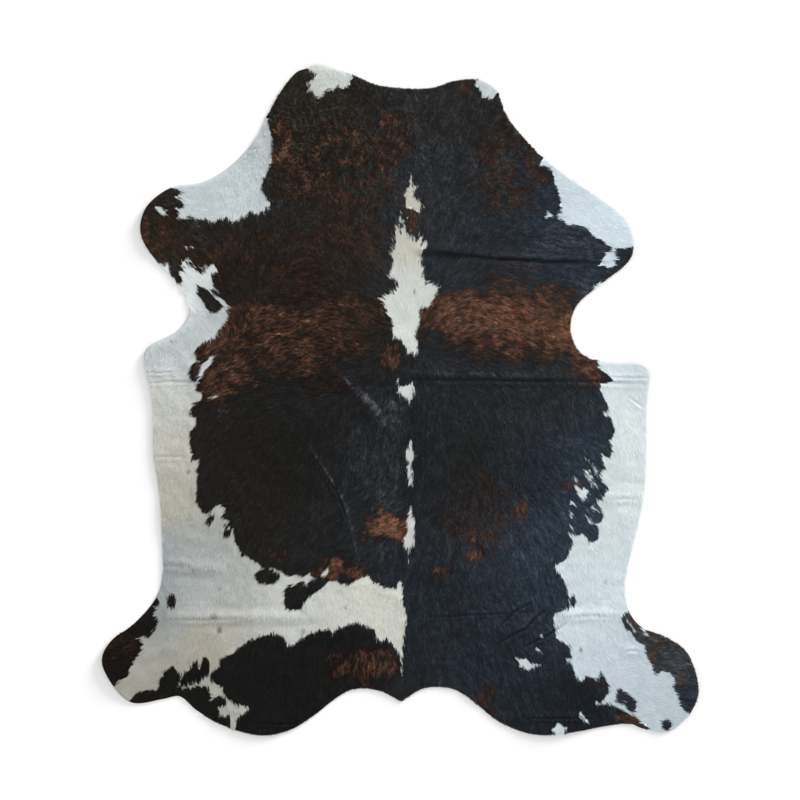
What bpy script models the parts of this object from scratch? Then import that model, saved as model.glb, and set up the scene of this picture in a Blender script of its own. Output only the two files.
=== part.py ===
"""A cowhide rug: one whole tanned hide with its hair left on, lying flat with the hair side up.

The neck points along +Y, the tail along -Y and the spine runs near X = 0. Metres, +Z up. The origin is
on the floor, under the middle of the hide.
"""

import math
from collections import namedtuple

import bpy
import numpy as np
from mathutils import Vector
from mathutils.geometry import delaunay_2d_cdt

# Driving dimensions, in metres.
HIDE_WIDTH = 1.862  # across the hind legs
HIDE_LENGTH = 2.094  # from the neck to the rump
BODY_DEPTH = 0.006  # tanned skin and the coat that lies on it
EDGE_DEPTH = 0.0035  # the same at the cut edge, where the hair falls away
EDGE_SLOPE = 0.012  # how far in from the edge the coat reaches its full depth
EDGE_STEP = 0.021  # spacing of the corners along the edge
GRID_STEP = 0.060  # spacing of the corners over the flat of the hide
FOLD_STEP = 0.052  # spacing of the corners along a fold
FOLD_ROWS = (-1.0, -0.5, 0.0, 0.5, 1.0)  # rows of corners across a fold, in parts of its reach
CURVE_SAMPLES = 12  # points worked out between two rows of an edge table
CLEAR_OF_EDGE = 0.8 * EDGE_SLOPE  # no corner of the slope or a fold comes nearer to the edge than this
CLEAR_OF_FOLD = 0.45 * GRID_STEP  # no corner of the flat comes nearer to any other than this
TOUCHING = 1e-6  # corners nearer than this are one
CM = 0.01  # the tables below are in centimetres

HAIR_COLOUR = (0.018, 0.015, 0.014, 1.0)
HAIR_ROUGHNESS = 0.55

# The cut edge, anticlockwise seen from above. across is to the right of the middle, along is towards the
# neck. The hide was trimmed by eye, so its two sides differ.
Edge = namedtuple("Edge", "place across along")

TAIL = (
    Edge("tail point", 0.3, -94.1),
    Edge("right of the tail", 7.2, -90.0),
    Edge("right tail hollow", 15.9, -90.0),
)
RIGHT_RUMP = (
    Edge("rump rises out", 20.3, -92.1),
    Edge("rump slope", 28.1, -98.3),
    Edge("rump shoulder", 31.6, -100.8),
    Edge("rump lobe", 42.2, -104.4),
    Edge("rump lobe end", 57.5, -103.1),
    Edge("notch before the leg", 62.2, -102.1),
    Edge("leg begins", 71.9, -101.1),
)
RIGHT_HIND_LEG = (
    Edge("sole", 75.3, -102.5),
    Edge("sole middle", 83.4, -103.4),
    Edge("toe", 90.0, -98.4),
    Edge("toe tip", 93.1, -91.4),
    Edge("shin", 90.4, -80.2),
    Edge("shin, upper", 86.8, -76.3),
    Edge("knee", 79.1, -72.5),
    Edge("knee hollow", 76.9, -71.9),
    Edge("thigh", 72.2, -67.2),
)
RIGHT_FLANK = (
    Edge("groin", 70.3, -60.6),
    Edge("groin top", 70.3, -56.2),
    Edge("belly", 76.2, -29.1),
    Edge("belly middle", 77.2, 0.9),
    Edge("brisket", 77.8, 8.8),
    Edge("brisket corner", 76.6, 10.6),
    Edge("brisket top", 73.8, 11.6),
    Edge("under the foreleg", 67.8, 11.7),
)
RIGHT_FORELEG = (
    Edge("armpit begins", 58.1, 13.4),
    Edge("armpit corner", 55.3, 15.9),
    Edge("armpit", 53.1, 22.2),
    Edge("armpit top", 55.0, 29.4),
    Edge("forearm, low", 62.5, 36.2),
    Edge("forearm", 66.6, 39.3),
    Edge("hoof side", 70.6, 42.5),
    Edge("foreleg tip", 72.5, 45.6),
    Edge("foreleg end", 72.2, 52.2),
    Edge("foreleg back", 70.6, 55.6),
    Edge("foreleg top", 67.5, 59.1),
    Edge("shoulder", 47.5, 73.2),
)
NECK = (
    Edge("right neck base", 40.2, 80.1),
    Edge("right neck side", 33.4, 88.4),
    Edge("right neck upper", 31.6, 92.5),
    Edge("right neck corner", 30.3, 96.2),
    Edge("right neck tip", 24.4, 99.8),
    Edge("right of the neck dip", 17.2, 99.6),
    Edge("neck dip", 9.4, 97.35),
    Edge("left of the neck dip", -6.9, 98.3),
    Edge("neck rises", -15.0, 101.6),
    Edge("left neck tip", -26.2, 104.7),
    Edge("left neck corner", -29.7, 103.4),
    Edge("left neck turn", -32.2, 102.5),
    Edge("left neck upper side", -37.4, 96.3),
    Edge("left neck side", -40.2, 91.2),
    Edge("left neck lower", -41.9, 88.4),
)
LEFT_FORELEG = (
    Edge("left neck base", -44.4, 82.8),
    Edge("shoulder", -52.8, 73.4),
    Edge("foreleg top", -61.6, 68.1),
    Edge("foreleg back", -71.6, 66.4),
    Edge("foreleg end", -78.0, 61.9),
    Edge("foreleg turn", -80.4, 58.1),
    Edge("foreleg tip", -81.2, 52.3),
    Edge("hoof side", -77.6, 45.1),
    Edge("forearm", -69.7, 36.9),
    Edge("armpit", -65.9, 27.8),
    Edge("armpit corner", -69.4, 21.9),
)
LEFT_FLANK = (
    Edge("brisket", -79.1, 16.2),
    Edge("brisket side", -80.0, 13.4),
    Edge("belly top", -77.2, -0.9),
    Edge("belly", -76.9, -17.2),
    Edge("belly middle", -75.3, -27.5),
    Edge("belly end", -74.4, -39.7),
    Edge("groin", -75.3, -59.4),
)
LEFT_HIND_LEG = (
    Edge("thigh", -83.0, -69.6),
    Edge("shin", -90.25, -75.0),
    Edge("toe tip", -93.1, -80.0),
    Edge("toe", -92.5, -84.4),
    Edge("sole", -84.4, -94.4),
    Edge("heel", -73.8, -93.4),
    Edge("notch before the rump", -69.0, -92.6),
)
LEFT_RUMP = (
    Edge("rump begins", -63.8, -96.9),
    Edge("rump shoulder", -56.2, -101.2),
    Edge("rump lobe", -43.1, -104.7),
    Edge("rump lobe end", -34.1, -102.8),
    Edge("rump slope, low", -28.1, -99.2),
    Edge("rump slope", -15.6, -90.5),
    Edge("left of the tail", -6.9, -90.6),
)
CUT_EDGE = (
    TAIL + RIGHT_RUMP + RIGHT_HIND_LEG + RIGHT_FLANK + RIGHT_FORELEG + NECK + LEFT_FORELEG + LEFT_FLANK
    + LEFT_HIND_LEG + LEFT_RUMP
)

# Creases left from storing the hide folded: low ridges along a straight line, in centimetres, fading out
# at both ends. rise is the height of the crest and reach the distance from it to flat ground.
Fold = namedtuple("Fold", "place across along to_across to_along rise reach")
FOLDS = (
    Fold("right shoulder", 6.0, 45.7, 66.0, 42.7, 0.50, 2.2),
    Fold("left shoulder", -68.0, 45.3, -5.6, 45.6, 0.25, 2.4),
    Fold("right waist", -1.0, 7.9, 80.0, 6.2, 0.55, 2.4),
    Fold("left waist", -82.0, 7.6, -3.0, 8.1, 0.40, 2.4),
    Fold("left groin", -78.0, -51.6, -50.0, -52.5, 0.40, 2.6),
    Fold("right belly", 60.0, -30.3, 78.0, -30.3, 0.30, 2.0),
    Fold("left thigh", -80.0, -67.9, -20.0, -67.4, 0.45, 2.4),
    Fold("right thigh", 44.0, -67.0, 74.0, -66.9, 0.45, 2.4),
    Fold("right rump wrinkle", 28.0, -74.5, 48.0, -67.0, 0.35, 2.4),
    Fold("left shin", -86.0, -81.5, -66.0, -79.0, 0.30, 2.0),
    Fold("right shin", 66.0, -78.1, 82.0, -78.1, 0.30, 2.0),
    Fold("left rump hem", -49.0, -99.6, -26.0, -99.4, 0.30, 1.8),
    Fold("right rump hem", 29.0, -98.8, 63.0, -98.6, 0.35, 1.9),
    Fold("back, slanted", -24.0, 13.0, -1.0, -11.5, 0.40, 3.0),
    Fold("loin, slanted", -31.0, -10.5, -16.5, -32.5, 0.25, 2.0),
    Fold("loin, steep", -18.0, -30.0, -11.5, -55.0, 0.30, 1.8),
)

# Places where the edge doesn't lie quite flat. rise is the height at the middle of a round swell.
Swell = namedtuple("Swell", "place across along rise reach")
SWELLS = (
    Swell("left neck tip", -31.0, 105.0, 0.7, 16.0),
    Swell("right neck tip", 28.0, 100.0, 0.5, 13.0),
    Swell("left foreleg", -82.0, 57.0, 0.8, 18.0),
    Swell("right foreleg", 74.0, 50.0, 0.6, 16.0),
    Swell("left brisket", -82.0, 15.0, 0.6, 13.0),
    Swell("right brisket", 80.0, 10.0, 0.7, 13.0),
    Swell("left flank", -80.0, 0.0, 0.5, 15.0),
    Swell("left belly, upper", -80.0, -18.0, 0.5, 15.0),
    Swell("left belly", -79.0, -36.0, 0.5, 15.0),
    Swell("left toe", -95.0, -84.0, 0.9, 20.0),
    Swell("right toe", 95.0, -93.0, 0.8, 18.0),
    Swell("left rump lobe", -45.0, -108.0, 0.5, 15.0),
    Swell("right rump lobe", 48.0, -108.0, 0.5, 15.0),
)


def clear_scene():
    """Removes whatever the scene holds."""
    for thing in list(bpy.data.objects):
        bpy.data.objects.remove(thing, do_unlink=True)


def on_hide(across, along):
    """A place from the tables, in metres."""
    return np.array((across, along)) * CM


def bend(before, start, end, after, share):
    """The point share of the way along a smooth curve from start to end, heading on to its neighbours."""
    gap_in = math.sqrt(np.linalg.norm(start - before))
    gap = math.sqrt(np.linalg.norm(end - start))
    gap_out = math.sqrt(np.linalg.norm(after - end))
    leave = gap * ((start - before) / gap_in - (end - before) / (gap_in + gap)) + (end - start)
    arrive = gap * ((after - end) / gap_out - (after - start) / (gap + gap_out)) + (end - start)
    left = 1 - share
    return (
        start * (1 + 2 * share) * left**2
        + leave * share * left**2
        + end * share**2 * (3 - 2 * share)
        - arrive * share**2 * left
    )


def smooth_edge(rows):
    """A closed curve through the rows of the edge, sharp only at the first one, the tail point."""
    corners = [on_hide(row.across, row.along) for row in rows]
    count = len(corners)
    shares = np.arange(CURVE_SAMPLES) / CURVE_SAMPLES
    curve = []
    for i, start in enumerate(corners):
        end = corners[(i + 1) % count]
        before = 2 * start - end if i == 0 else corners[i - 1]
        after = 2 * end - start if i == count - 1 else corners[(i + 2) % count]
        curve += [bend(before, start, end, after, share) for share in shares]
    return np.array(curve)


def even_steps(curve, step):
    """The same closed curve with its corners at equal distances, starting from its first corner."""
    closed = np.vstack((curve, curve[:1]))
    run = np.concatenate(([0.0], np.cumsum(np.linalg.norm(np.diff(closed, axis=0), axis=1))))
    places = np.linspace(0.0, run[-1], round(run[-1] / step) + 1)[:-1]
    return np.stack([np.interp(places, run, closed[:, axis]) for axis in (0, 1)], axis=1)


def fit_to_size(curve):
    """Centres the curve's box on the origin and gives it the stated width and length."""
    low, high = curve.min(0), curve.max(0)
    return (curve - (low + high) / 2) * (np.array((HIDE_WIDTH, HIDE_LENGTH)) / (high - low))


def inside(points, loop):
    """Which points lie within the loop, by counting the sides that a line towards +X crosses."""
    start, end = loop, np.roll(loop, -1, axis=0)
    x, y = points[:, :1], points[:, 1:]
    crosses = (start[:, 1] > y) != (end[:, 1] > y)
    rise = np.where(end[:, 1] == start[:, 1], 1.0, end[:, 1] - start[:, 1])
    at = start[:, 0] + (end[:, 0] - start[:, 0]) * (y - start[:, 1]) / rise
    return (crosses & (at > x)).sum(axis=1) % 2 == 1


def clear_of(points, others, gap):
    """The points that are further than gap from every one of the others."""
    if not len(others):
        return points
    distance = np.linalg.norm(points[:, None] - others[None], axis=2).min(axis=1)
    return points[distance > gap]


def edge_inset(loop, depth):
    """The loop's corners moved inwards by depth."""
    along = np.roll(loop, -1, axis=0) - np.roll(loop, 1, axis=0)
    inwards = np.stack((-along[:, 1], along[:, 0]), axis=1) / np.linalg.norm(along, axis=1)[:, None]
    return loop + inwards * depth


def flat_points():
    """Staggered rows of corners over the whole of the hide's box."""
    row_gap = GRID_STEP * math.sqrt(3) / 2
    rows = math.ceil(HIDE_LENGTH / 2 / row_gap)
    columns = math.ceil(HIDE_WIDTH / 2 / GRID_STEP)
    return np.array([
        ((column + 0.5 * (row % 2)) * GRID_STEP, row * row_gap)
        for row in range(-rows, rows + 1)
        for column in range(-columns, columns + 1)
    ])


def fold_frame(fold):
    """A fold's start, its length, the way it runs and the way across it."""
    start, end = on_hide(fold.across, fold.along), on_hide(fold.to_across, fold.to_along)
    length = np.linalg.norm(end - start)
    heading = (end - start) / length
    return start, length, heading, np.array((-heading[1], heading[0]))


def fold_points(fold):
    """Rows of corners along a fold: on its crest, half way down and where it meets the flat."""
    start, length, heading, side = fold_frame(fold)
    steps = round(length / FOLD_STEP)
    return np.array([
        start + heading * length * step / steps + side * row * fold.reach * CM
        for step in range(steps + 1)
        for row in FOLD_ROWS
    ])


def bump(share):
    """A soft bump, 1 where share is 0 and down to 0 where it reaches 1."""
    return np.clip(1 - share**2, 0.0, None) ** 2


def fold_height(points, fold):
    """How high a fold lifts each point: full on its crest, less down its sides and towards its ends."""
    start, length, heading, side = fold_frame(fold)
    ahead = 2 * ((points - start) @ heading) / length - 1
    aside = (points - start) @ side / (fold.reach * CM)
    return fold.rise * CM * bump(aside) * np.sqrt(bump(ahead))


def swell_height(points, swell):
    """How high a swell lifts each point."""
    away = np.linalg.norm(points - on_hide(swell.across, swell.along), axis=1)
    return swell.rise * CM * bump(away / (swell.reach * CM))


def height_over_floor(points):
    """How high the hide's underside is over the floor at each point."""
    folds = np.max([fold_height(points, fold) for fold in FOLDS], axis=0)
    swells = np.sum([swell_height(points, swell) for swell in SWELLS], axis=0)
    return folds + swells


def inner_corners(loop):
    """Every corner inside the cut edge: the slope's inner rim, the folds, then the flat between them."""
    rim = edge_inset(loop, EDGE_SLOPE)
    rim = clear_of(rim[inside(rim, loop)], loop, CLEAR_OF_EDGE)
    placed = rim
    for fold in FOLDS:
        points = fold_points(fold)
        points = clear_of(points[inside(points, loop)], np.vstack((loop, placed)), CLEAR_OF_EDGE)
        placed = np.vstack((placed, points))
    flat = flat_points()
    flat = clear_of(flat[inside(flat, loop)], np.vstack((loop, placed)), CLEAR_OF_FOLD)
    return np.vstack((placed, flat))


def hide_mesh(loop, inner):
    """A sheet of triangles bounded by the loop, with a corner at each inner point, at its true height."""
    corners = [Vector(point) for point in np.vstack((loop, inner))]
    sides = [(i, (i + 1) % len(loop)) for i in range(len(loop))]
    keep_inside = 1
    made, _, faces, *_ = delaunay_2d_cdt(corners, sides, [], keep_inside, TOUCHING)
    flat = np.array([(corner.x, corner.y) for corner in made])
    points = np.column_stack((flat, height_over_floor(flat)))
    mesh = bpy.data.meshes.new("hide")
    mesh.from_pydata(points.tolist(), [], faces)
    mesh.update()
    return mesh


def hair_material():
    """Short glossy hair, nearly black."""
    material = bpy.data.materials.new("hair_on_hide")
    material.use_nodes = True
    shader = material.node_tree.nodes["Principled BSDF"]
    shader.inputs["Base Color"].default_value = HAIR_COLOUR
    shader.inputs["Roughness"].default_value = HAIR_ROUGHNESS
    shader.inputs["Metallic"].default_value = 0.0
    return material


def build_hide():
    """The one solid: the sheet on its folds, thickened upwards, thinner along the cut edge."""
    loop = even_steps(fit_to_size(smooth_edge(CUT_EDGE)), EDGE_STEP)
    mesh = hide_mesh(loop, inner_corners(loop))
    mesh.materials.append(hair_material())
    hide = bpy.data.objects.new("hide", mesh)
    bpy.context.scene.collection.objects.link(hide)

    depth = hide.vertex_groups.new(name="coat depth")
    depth.add(range(len(mesh.vertices)), 1.0, "REPLACE")
    depth.add(range(len(loop)), EDGE_DEPTH / BODY_DEPTH, "REPLACE")

    thicken = hide.modifiers.new("skin and coat", "SOLIDIFY")
    thicken.thickness = BODY_DEPTH
    thicken.offset = 1.0
    thicken.vertex_group = depth.name


clear_scene()
build_hide()
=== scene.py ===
# %% [markdown]
# # A cowhide rug
#
# The object is one whole tanned hide with its hair left on, lying flat on the floor with the hair side up.
# It has no joints, so everything here rides on the one body, "root". Two things make such a rug what it is.
# The first is a thin sheet of leather with a cut edge and a few soft creases from storage. The second is a
# coat of short lying hair, white and nearly black with rust-brown brindle, whose tips overlap like thatch.
#
# The imported model is loaded first and never changed. It gives the outline and the height of the folds.
# Metres, +Z up, +Y towards the neck. The tables below are in centimetres, read off the hide: the first
# number of a place is across, to the right of the middle, and the second is along, towards the neck.

# %% Load the imported frame
import math
from collections import namedtuple

import bmesh
import bpy
import numpy as np
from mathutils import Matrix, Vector
from mathutils.bvhtree import BVHTree
from mathutils.geometry import delaunay_2d_cdt


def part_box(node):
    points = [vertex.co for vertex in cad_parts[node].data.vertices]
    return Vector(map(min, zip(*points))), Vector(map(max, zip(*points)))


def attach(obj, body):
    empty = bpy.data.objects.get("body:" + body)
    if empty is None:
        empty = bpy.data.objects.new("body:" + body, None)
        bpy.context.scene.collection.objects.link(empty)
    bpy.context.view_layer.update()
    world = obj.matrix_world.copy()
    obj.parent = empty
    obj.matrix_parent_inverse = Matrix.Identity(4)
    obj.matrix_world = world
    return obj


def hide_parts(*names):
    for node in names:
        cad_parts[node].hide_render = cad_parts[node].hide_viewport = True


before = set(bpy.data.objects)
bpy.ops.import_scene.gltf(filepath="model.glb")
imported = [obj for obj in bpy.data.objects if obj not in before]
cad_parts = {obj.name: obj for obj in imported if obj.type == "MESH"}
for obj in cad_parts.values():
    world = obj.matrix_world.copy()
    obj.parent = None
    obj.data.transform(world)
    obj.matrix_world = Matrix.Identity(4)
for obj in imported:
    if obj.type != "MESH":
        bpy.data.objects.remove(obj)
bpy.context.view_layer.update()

CM = 0.01
MM = 0.001
MIDDLE = np.zeros((1, 2))  # one place, to try things on
hide_low, hide_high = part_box("hide")


def in_mm(length):
    """A length in millimetres, for printing."""
    return round(float(length) / MM, 1)


print("hide box", [in_mm(x) for x in (*hide_low, *hide_high)], "mm")

# %% [markdown]
# ## Tables of places
#
# What was read off the hide is kept as text, one thing to a line: its place in words, a colon, its numbers,
# and the points of its line or ring if it has one. A text line without a colon goes on with the one before.
# One helper turns every table into rows with named fields.

# %% Read a table
def table(kind, text):
    """The rows of a text as tuples of this kind, with the points before the numbers."""
    rows = []
    for line in text.strip().splitlines():
        place, colon, rest = line.rpartition(":")
        if colon:
            rows.append((place, [], []))
        for item in rest.split():
            numbers = [float(part) for part in item.split(",")]
            rows[-1][len(numbers)].append(tuple(numbers) if len(numbers) == 2 else numbers[0])
    print(kind.__name__, len(rows), "rows")
    return [kind(place, *([points] if points else []), *numbers) for place, numbers, points in rows]


example = table(namedtuple("Example", "place line size"), "a short line: 0.5 0,0 1,0")
print(example)

# %% [markdown]
# ## Camera, floor and light
#
# The rug is seen from straight above, with the neck at the top. A long lens from almost six metres up keeps
# the far and near parts of a flat thing the same size. The floor is a plain pale plane. Even white light from
# all round fills the hair, and one low, wide light from the upper right lays a soft shadow along the left and
# lower edges, which is all that shows that the rug is a few millimetres thick.

# %% Point a camera straight down
FOCAL_MM = 85.0
SENSOR_MM = 36.0
VIEW_WIDTH = 2.5  # metres of floor across the picture
camera_height = VIEW_WIDTH * FOCAL_MM / SENSOR_MM


def add(name, data):
    """An object in the scene, with this mesh, camera or light."""
    thing = bpy.data.objects.new(name, data)
    bpy.context.scene.collection.objects.link(thing)
    return thing


camera = add("camera", bpy.data.cameras.new("camera"))
camera.data.lens = FOCAL_MM
camera.data.sensor_width = SENSOR_MM
camera.location = (0.0, 0.0, camera_height)
bpy.context.scene.camera = camera
bpy.context.scene.view_settings.view_transform = "Standard"
print(f"camera {camera_height:.2f} m up")

# %% Nodes without repetition
PRINCIPLED = "Principled BSDF"


def put(tree, kind, settings=None, sockets=None):
    """Adds a node. settings are its own properties. sockets are inputs: plain values, or outputs to link."""
    node = tree.nodes.new(kind)
    for name, value in (settings or {}).items():
        setattr(node, name, value)
    for name, value in (sockets or {}).items():
        if isinstance(value, bpy.types.NodeSocket):
            tree.links.new(value, node.inputs[name])
        else:
            node.inputs[name].default_value = value
    return node


def value_of(tree, kind, settings=None, sockets=None):
    """Adds a node and gives its first output."""
    return put(tree, kind, settings, sockets).outputs[0]


def paint(name, roughness=0.5, shine=0.5):
    """A new material, its node tree and its main shader, with this roughness and specular level."""
    material = bpy.data.materials.new(name)
    material.use_nodes = True
    shader = material.node_tree.nodes[PRINCIPLED]
    shader.inputs["Roughness"].default_value = roughness
    shader.inputs["Specular IOR Level"].default_value = shine
    return material, material.node_tree, shader


print("helpers", put.__name__, value_of.__name__, paint.__name__)


# %% Light it softly, with one low light from the upper right
FILL = 0.85  # how bright a white floor is by the even light alone
KEY = 0.26  # and by the low light alone
KEY_ELEVATION = math.radians(9)
KEY_AZIMUTH = math.radians(45)  # from +X towards +Y
KEY_WIDTH = math.radians(18)

world = bpy.data.worlds.new("even light")
world.use_nodes = True
world.node_tree.nodes["Background"].inputs["Color"].default_value = (1.0, 1.0, 1.0, 1.0)
world.node_tree.nodes["Background"].inputs["Strength"].default_value = FILL
bpy.context.scene.world = world

key = add("low light", bpy.data.lights.new("low light", "SUN"))
key.data.energy = KEY * math.pi / math.sin(KEY_ELEVATION)
key.data.angle = KEY_WIDTH
flat_part = math.cos(KEY_ELEVATION)
key_travel = Vector((
    -math.cos(KEY_AZIMUTH) * flat_part,
    -math.sin(KEY_AZIMUTH) * flat_part,
    -math.sin(KEY_ELEVATION),
))
key.rotation_euler = key_travel.to_track_quat("-Z", "Y").to_euler()
print(f"low light {key.data.energy:.2f} W/m2")

# %% Lay the floor
FLOOR_HALF = 14.0
FLOOR_LOWER = 0.0006  # keeps the floor clear of the leather that lies on it
FLOOR_PALE = (0.93, 0.93, 0.93, 1.0)
FLOOR_ROUGH, FLOOR_SHINE = 0.9, 0.1

floor_mesh = bpy.data.meshes.new("floor")
quarters = ((-1, -1), (1, -1), (1, 1), (-1, 1))
floor_corners = [(x * FLOOR_HALF, y * FLOOR_HALF, -FLOOR_LOWER) for x, y in quarters]
floor_mesh.from_pydata(floor_corners, [], [(0, 1, 2, 3)])
floor = add("floor", floor_mesh)
pale, _, shader = paint("pale floor", FLOOR_ROUGH, FLOOR_SHINE)
shader.inputs["Base Color"].default_value = FLOOR_PALE
floor_mesh.materials.append(pale)
print("floor", floor_mesh.name)

# %% [markdown]
# ## The cut edge
#
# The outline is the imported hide's own, so the sheet made here fits its frame. It is where the faces that look
# down meet the faces of the wall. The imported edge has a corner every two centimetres, and a curve drawn
# through those corners gives the smooth line that a knife leaves. Only the tail point stays sharp.

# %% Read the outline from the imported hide
MERGE = 1e-5
FACING_DOWN = -0.5  # a face looks down if its normal's height is below this

solid = bmesh.new()
solid.from_mesh(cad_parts["hide"].data)
bmesh.ops.remove_doubles(solid, verts=solid.verts, dist=MERGE)
solid.normal_update()
facing_down = {face for face in solid.faces if face.normal.z < FACING_DOWN}
neighbours = {}
for edge in solid.edges:
    if len(facing_down.intersection(edge.link_faces)) == 1:
        one, other = edge.verts
        neighbours.setdefault(one, []).append(other)
        neighbours.setdefault(other, []).append(one)

chain = [next(iter(neighbours))]
chain.append(neighbours[chain[0]][0])
while chain[-1] is not chain[0]:
    ahead = [corner for corner in neighbours[chain[-1]] if corner is not chain[-2]]
    chain.append(ahead[0])
packed_edge = np.array([(corner.co.x, corner.co.y) for corner in chain[:-1]])
print("packed edge", len(packed_edge), "corners")


# %% Start it at the tail point and let it run anticlockwise
def turned(loop):
    """How sharply the loop turns at each corner, from 0 where it runs straight."""
    before, after = loop - np.roll(loop, 1, axis=0), np.roll(loop, -1, axis=0) - loop
    lengths = np.linalg.norm(before, axis=1) * np.linalg.norm(after, axis=1)
    return 1 - (before * after).sum(axis=1) / lengths


following = np.roll(packed_edge, -1, axis=0)
if (packed_edge[:, 0] * following[:, 1] - following[:, 0] * packed_edge[:, 1]).sum() < 0:
    packed_edge = packed_edge[::-1]
packed_edge = np.roll(packed_edge, -int(turned(packed_edge).argmax()), axis=0)
print("tail point", packed_edge[0].round(3))

# %% Draw a smooth curve through it
EDGE_SAMPLES = 3  # points from one packed corner to the next


def bend(before, start, end, after, share):
    """The point share of the way along a smooth curve from start to end, heading on to its neighbours."""
    gap_in = math.sqrt(np.linalg.norm(start - before))
    gap = math.sqrt(np.linalg.norm(end - start))
    gap_out = math.sqrt(np.linalg.norm(after - end))
    leave = gap * ((start - before) / gap_in - (end - before) / (gap_in + gap)) + (end - start)
    arrive = gap * ((after - end) / gap_out - (after - start) / (gap + gap_out)) + (end - start)
    left = 1 - share
    return (
        start * (1 + 2 * share) * left**2
        + leave * share * left**2
        + end * share**2 * (3 - 2 * share)
        - arrive * share**2 * left
    )


def smooth_edge(corners):
    """A closed curve through the corners, sharp only at the first one."""
    count = len(corners)
    curve = []
    for i, start in enumerate(corners):
        end = corners[(i + 1) % count]
        before = 2 * start - end if i == 0 else corners[i - 1]
        after = 2 * end - start if i == count - 1 else corners[(i + 2) % count]
        curve += [bend(before, start, end, after, k / EDGE_SAMPLES) for k in range(EDGE_SAMPLES)]
    return np.array(curve)


cut_edge = smooth_edge(packed_edge)
print("cut edge", len(cut_edge), "points")

# %% [markdown]
# ## Maps of the lying sheet
#
# Three things have to be known at any place on the hide: how high the leather lies over the floor, how far
# away the cut edge is, and how far it is to the border of a white patch. They are worked out once on a fine
# square grid and read from it by mixing the four nearest numbers. Only where a border has to be exact is it
# worked out afresh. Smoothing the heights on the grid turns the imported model's few large faces into the soft
# swells of leather.

# %% How far a place is inside a shape
FAR = 0.03  # beyond this it doesn't matter how far
BATCH = 4096


def reach_into(points, corners):
    """How far each point is inside a shape, below zero outside, and never more than FAR outside."""
    reach = np.full(len(points), -FAR)
    inner = ((points > corners.min(axis=0) - FAR) & (points < corners.max(axis=0) + FAR)).all(axis=1)
    near = np.flatnonzero(inner)
    side = np.roll(corners, -1, axis=0) - corners
    length = (side**2).sum(axis=1)
    slope = np.where(side[:, 1] == 0, 1.0, side[:, 1])
    for first in range(0, len(near), BATCH):
        some = near[first:first + BATCH]
        from_corner = points[some][:, None] - corners[None]
        share = np.clip((from_corner * side).sum(axis=2) / length, 0.0, 1.0)
        away = from_corner - share[:, :, None] * side
        gap = np.sqrt((away**2).sum(axis=2).min(axis=1))
        above = from_corner[:, :, 1] >= 0
        crosses = above != (from_corner[:, :, 1] - side[:, 1] >= 0)
        right = from_corner[:, :, 0] < side[:, 0] * from_corner[:, :, 1] / slope
        within = (crosses & right).sum(axis=1) % 2 == 1
        reach[some] = np.where(within, gap, np.maximum(-gap, -FAR))
    return reach


print("the middle is this far inside", reach_into(MIDDLE, packed_edge)[0].round(3), "m, or more")

# %% A square grid over the hide
MAP_STEP = 0.008
MAP_RIM = 0.04  # the maps run this far past the hide's box

map_x = np.arange(hide_low.x - MAP_RIM, hide_high.x + MAP_RIM, MAP_STEP)
map_y = np.arange(hide_low.y - MAP_RIM, hide_high.y + MAP_RIM, MAP_STEP)
map_points = np.stack(np.meshgrid(map_x, map_y, indexing="ij"), axis=2).reshape(-1, 2)
map_shape = (len(map_x), len(map_y))
print("maps", map_shape)

# %% The height over the floor and the room to the edge, on the grid
SMOOTHINGS = 3
BELOW = -1.0  # where the rays start that look for the underside

under_corners = {}
under_faces = []
for face in facing_down:
    under_faces.append([under_corners.setdefault(corner, len(under_corners)) for corner in face.verts])
under_tree = BVHTree.FromPolygons([corner.co for corner in under_corners], under_faces)
solid.free()


def packed_height(x, y):
    """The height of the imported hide's underside over this place, or at its nearest place if it is outside."""
    struck = under_tree.ray_cast(Vector((x, y, BELOW)), Vector((0.0, 0.0, 1.0)))[0]
    return (struck or under_tree.find_nearest(Vector((x, y, 0.0)))[0]).z


def smoothed(grid):
    """The grid with each number mixed with its neighbours, twice as much of itself as of each."""
    for axis in (0, 1):
        grid = np.pad(grid, [(1, 1) if axis == a else (0, 0) for a in (0, 1)], mode="edge")
        count = grid.shape[axis]
        parts = [np.take(grid, range(i, count - 2 + i), axis=axis) for i in range(3)]
        grid = (parts[0] + 2 * parts[1] + parts[2]) / 4
    return grid


height_map = np.array([packed_height(x, y) for x, y in map_points]).reshape(map_shape)
for _ in range(SMOOTHINGS):
    height_map = smoothed(height_map)
room_map = reach_into(map_points, packed_edge).reshape(map_shape)
print("highest underside", in_mm(height_map.max()), "mm")

# %% Read a map between its numbers
INSIDE_LAST = 1.001  # keeps a place before the last row, which has no next one


def read_map(grid, points):
    """The grid's value at each point, mixed from the four nearest."""
    at = (points - (map_x[0], map_y[0])) / MAP_STEP
    at = np.clip(at, 0, np.array(map_shape) - INSIDE_LAST)
    i, j = np.floor(at).astype(int).T
    u, v = (at - np.floor(at)).T
    return (
        grid[i, j] * (1 - u) * (1 - v)
        + grid[i + 1, j] * u * (1 - v)
        + grid[i, j + 1] * (1 - u) * v
        + grid[i + 1, j + 1] * u * v
    )


print("underside in the middle", in_mm(read_map(height_map, MIDDLE)[0]), "mm up")
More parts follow.
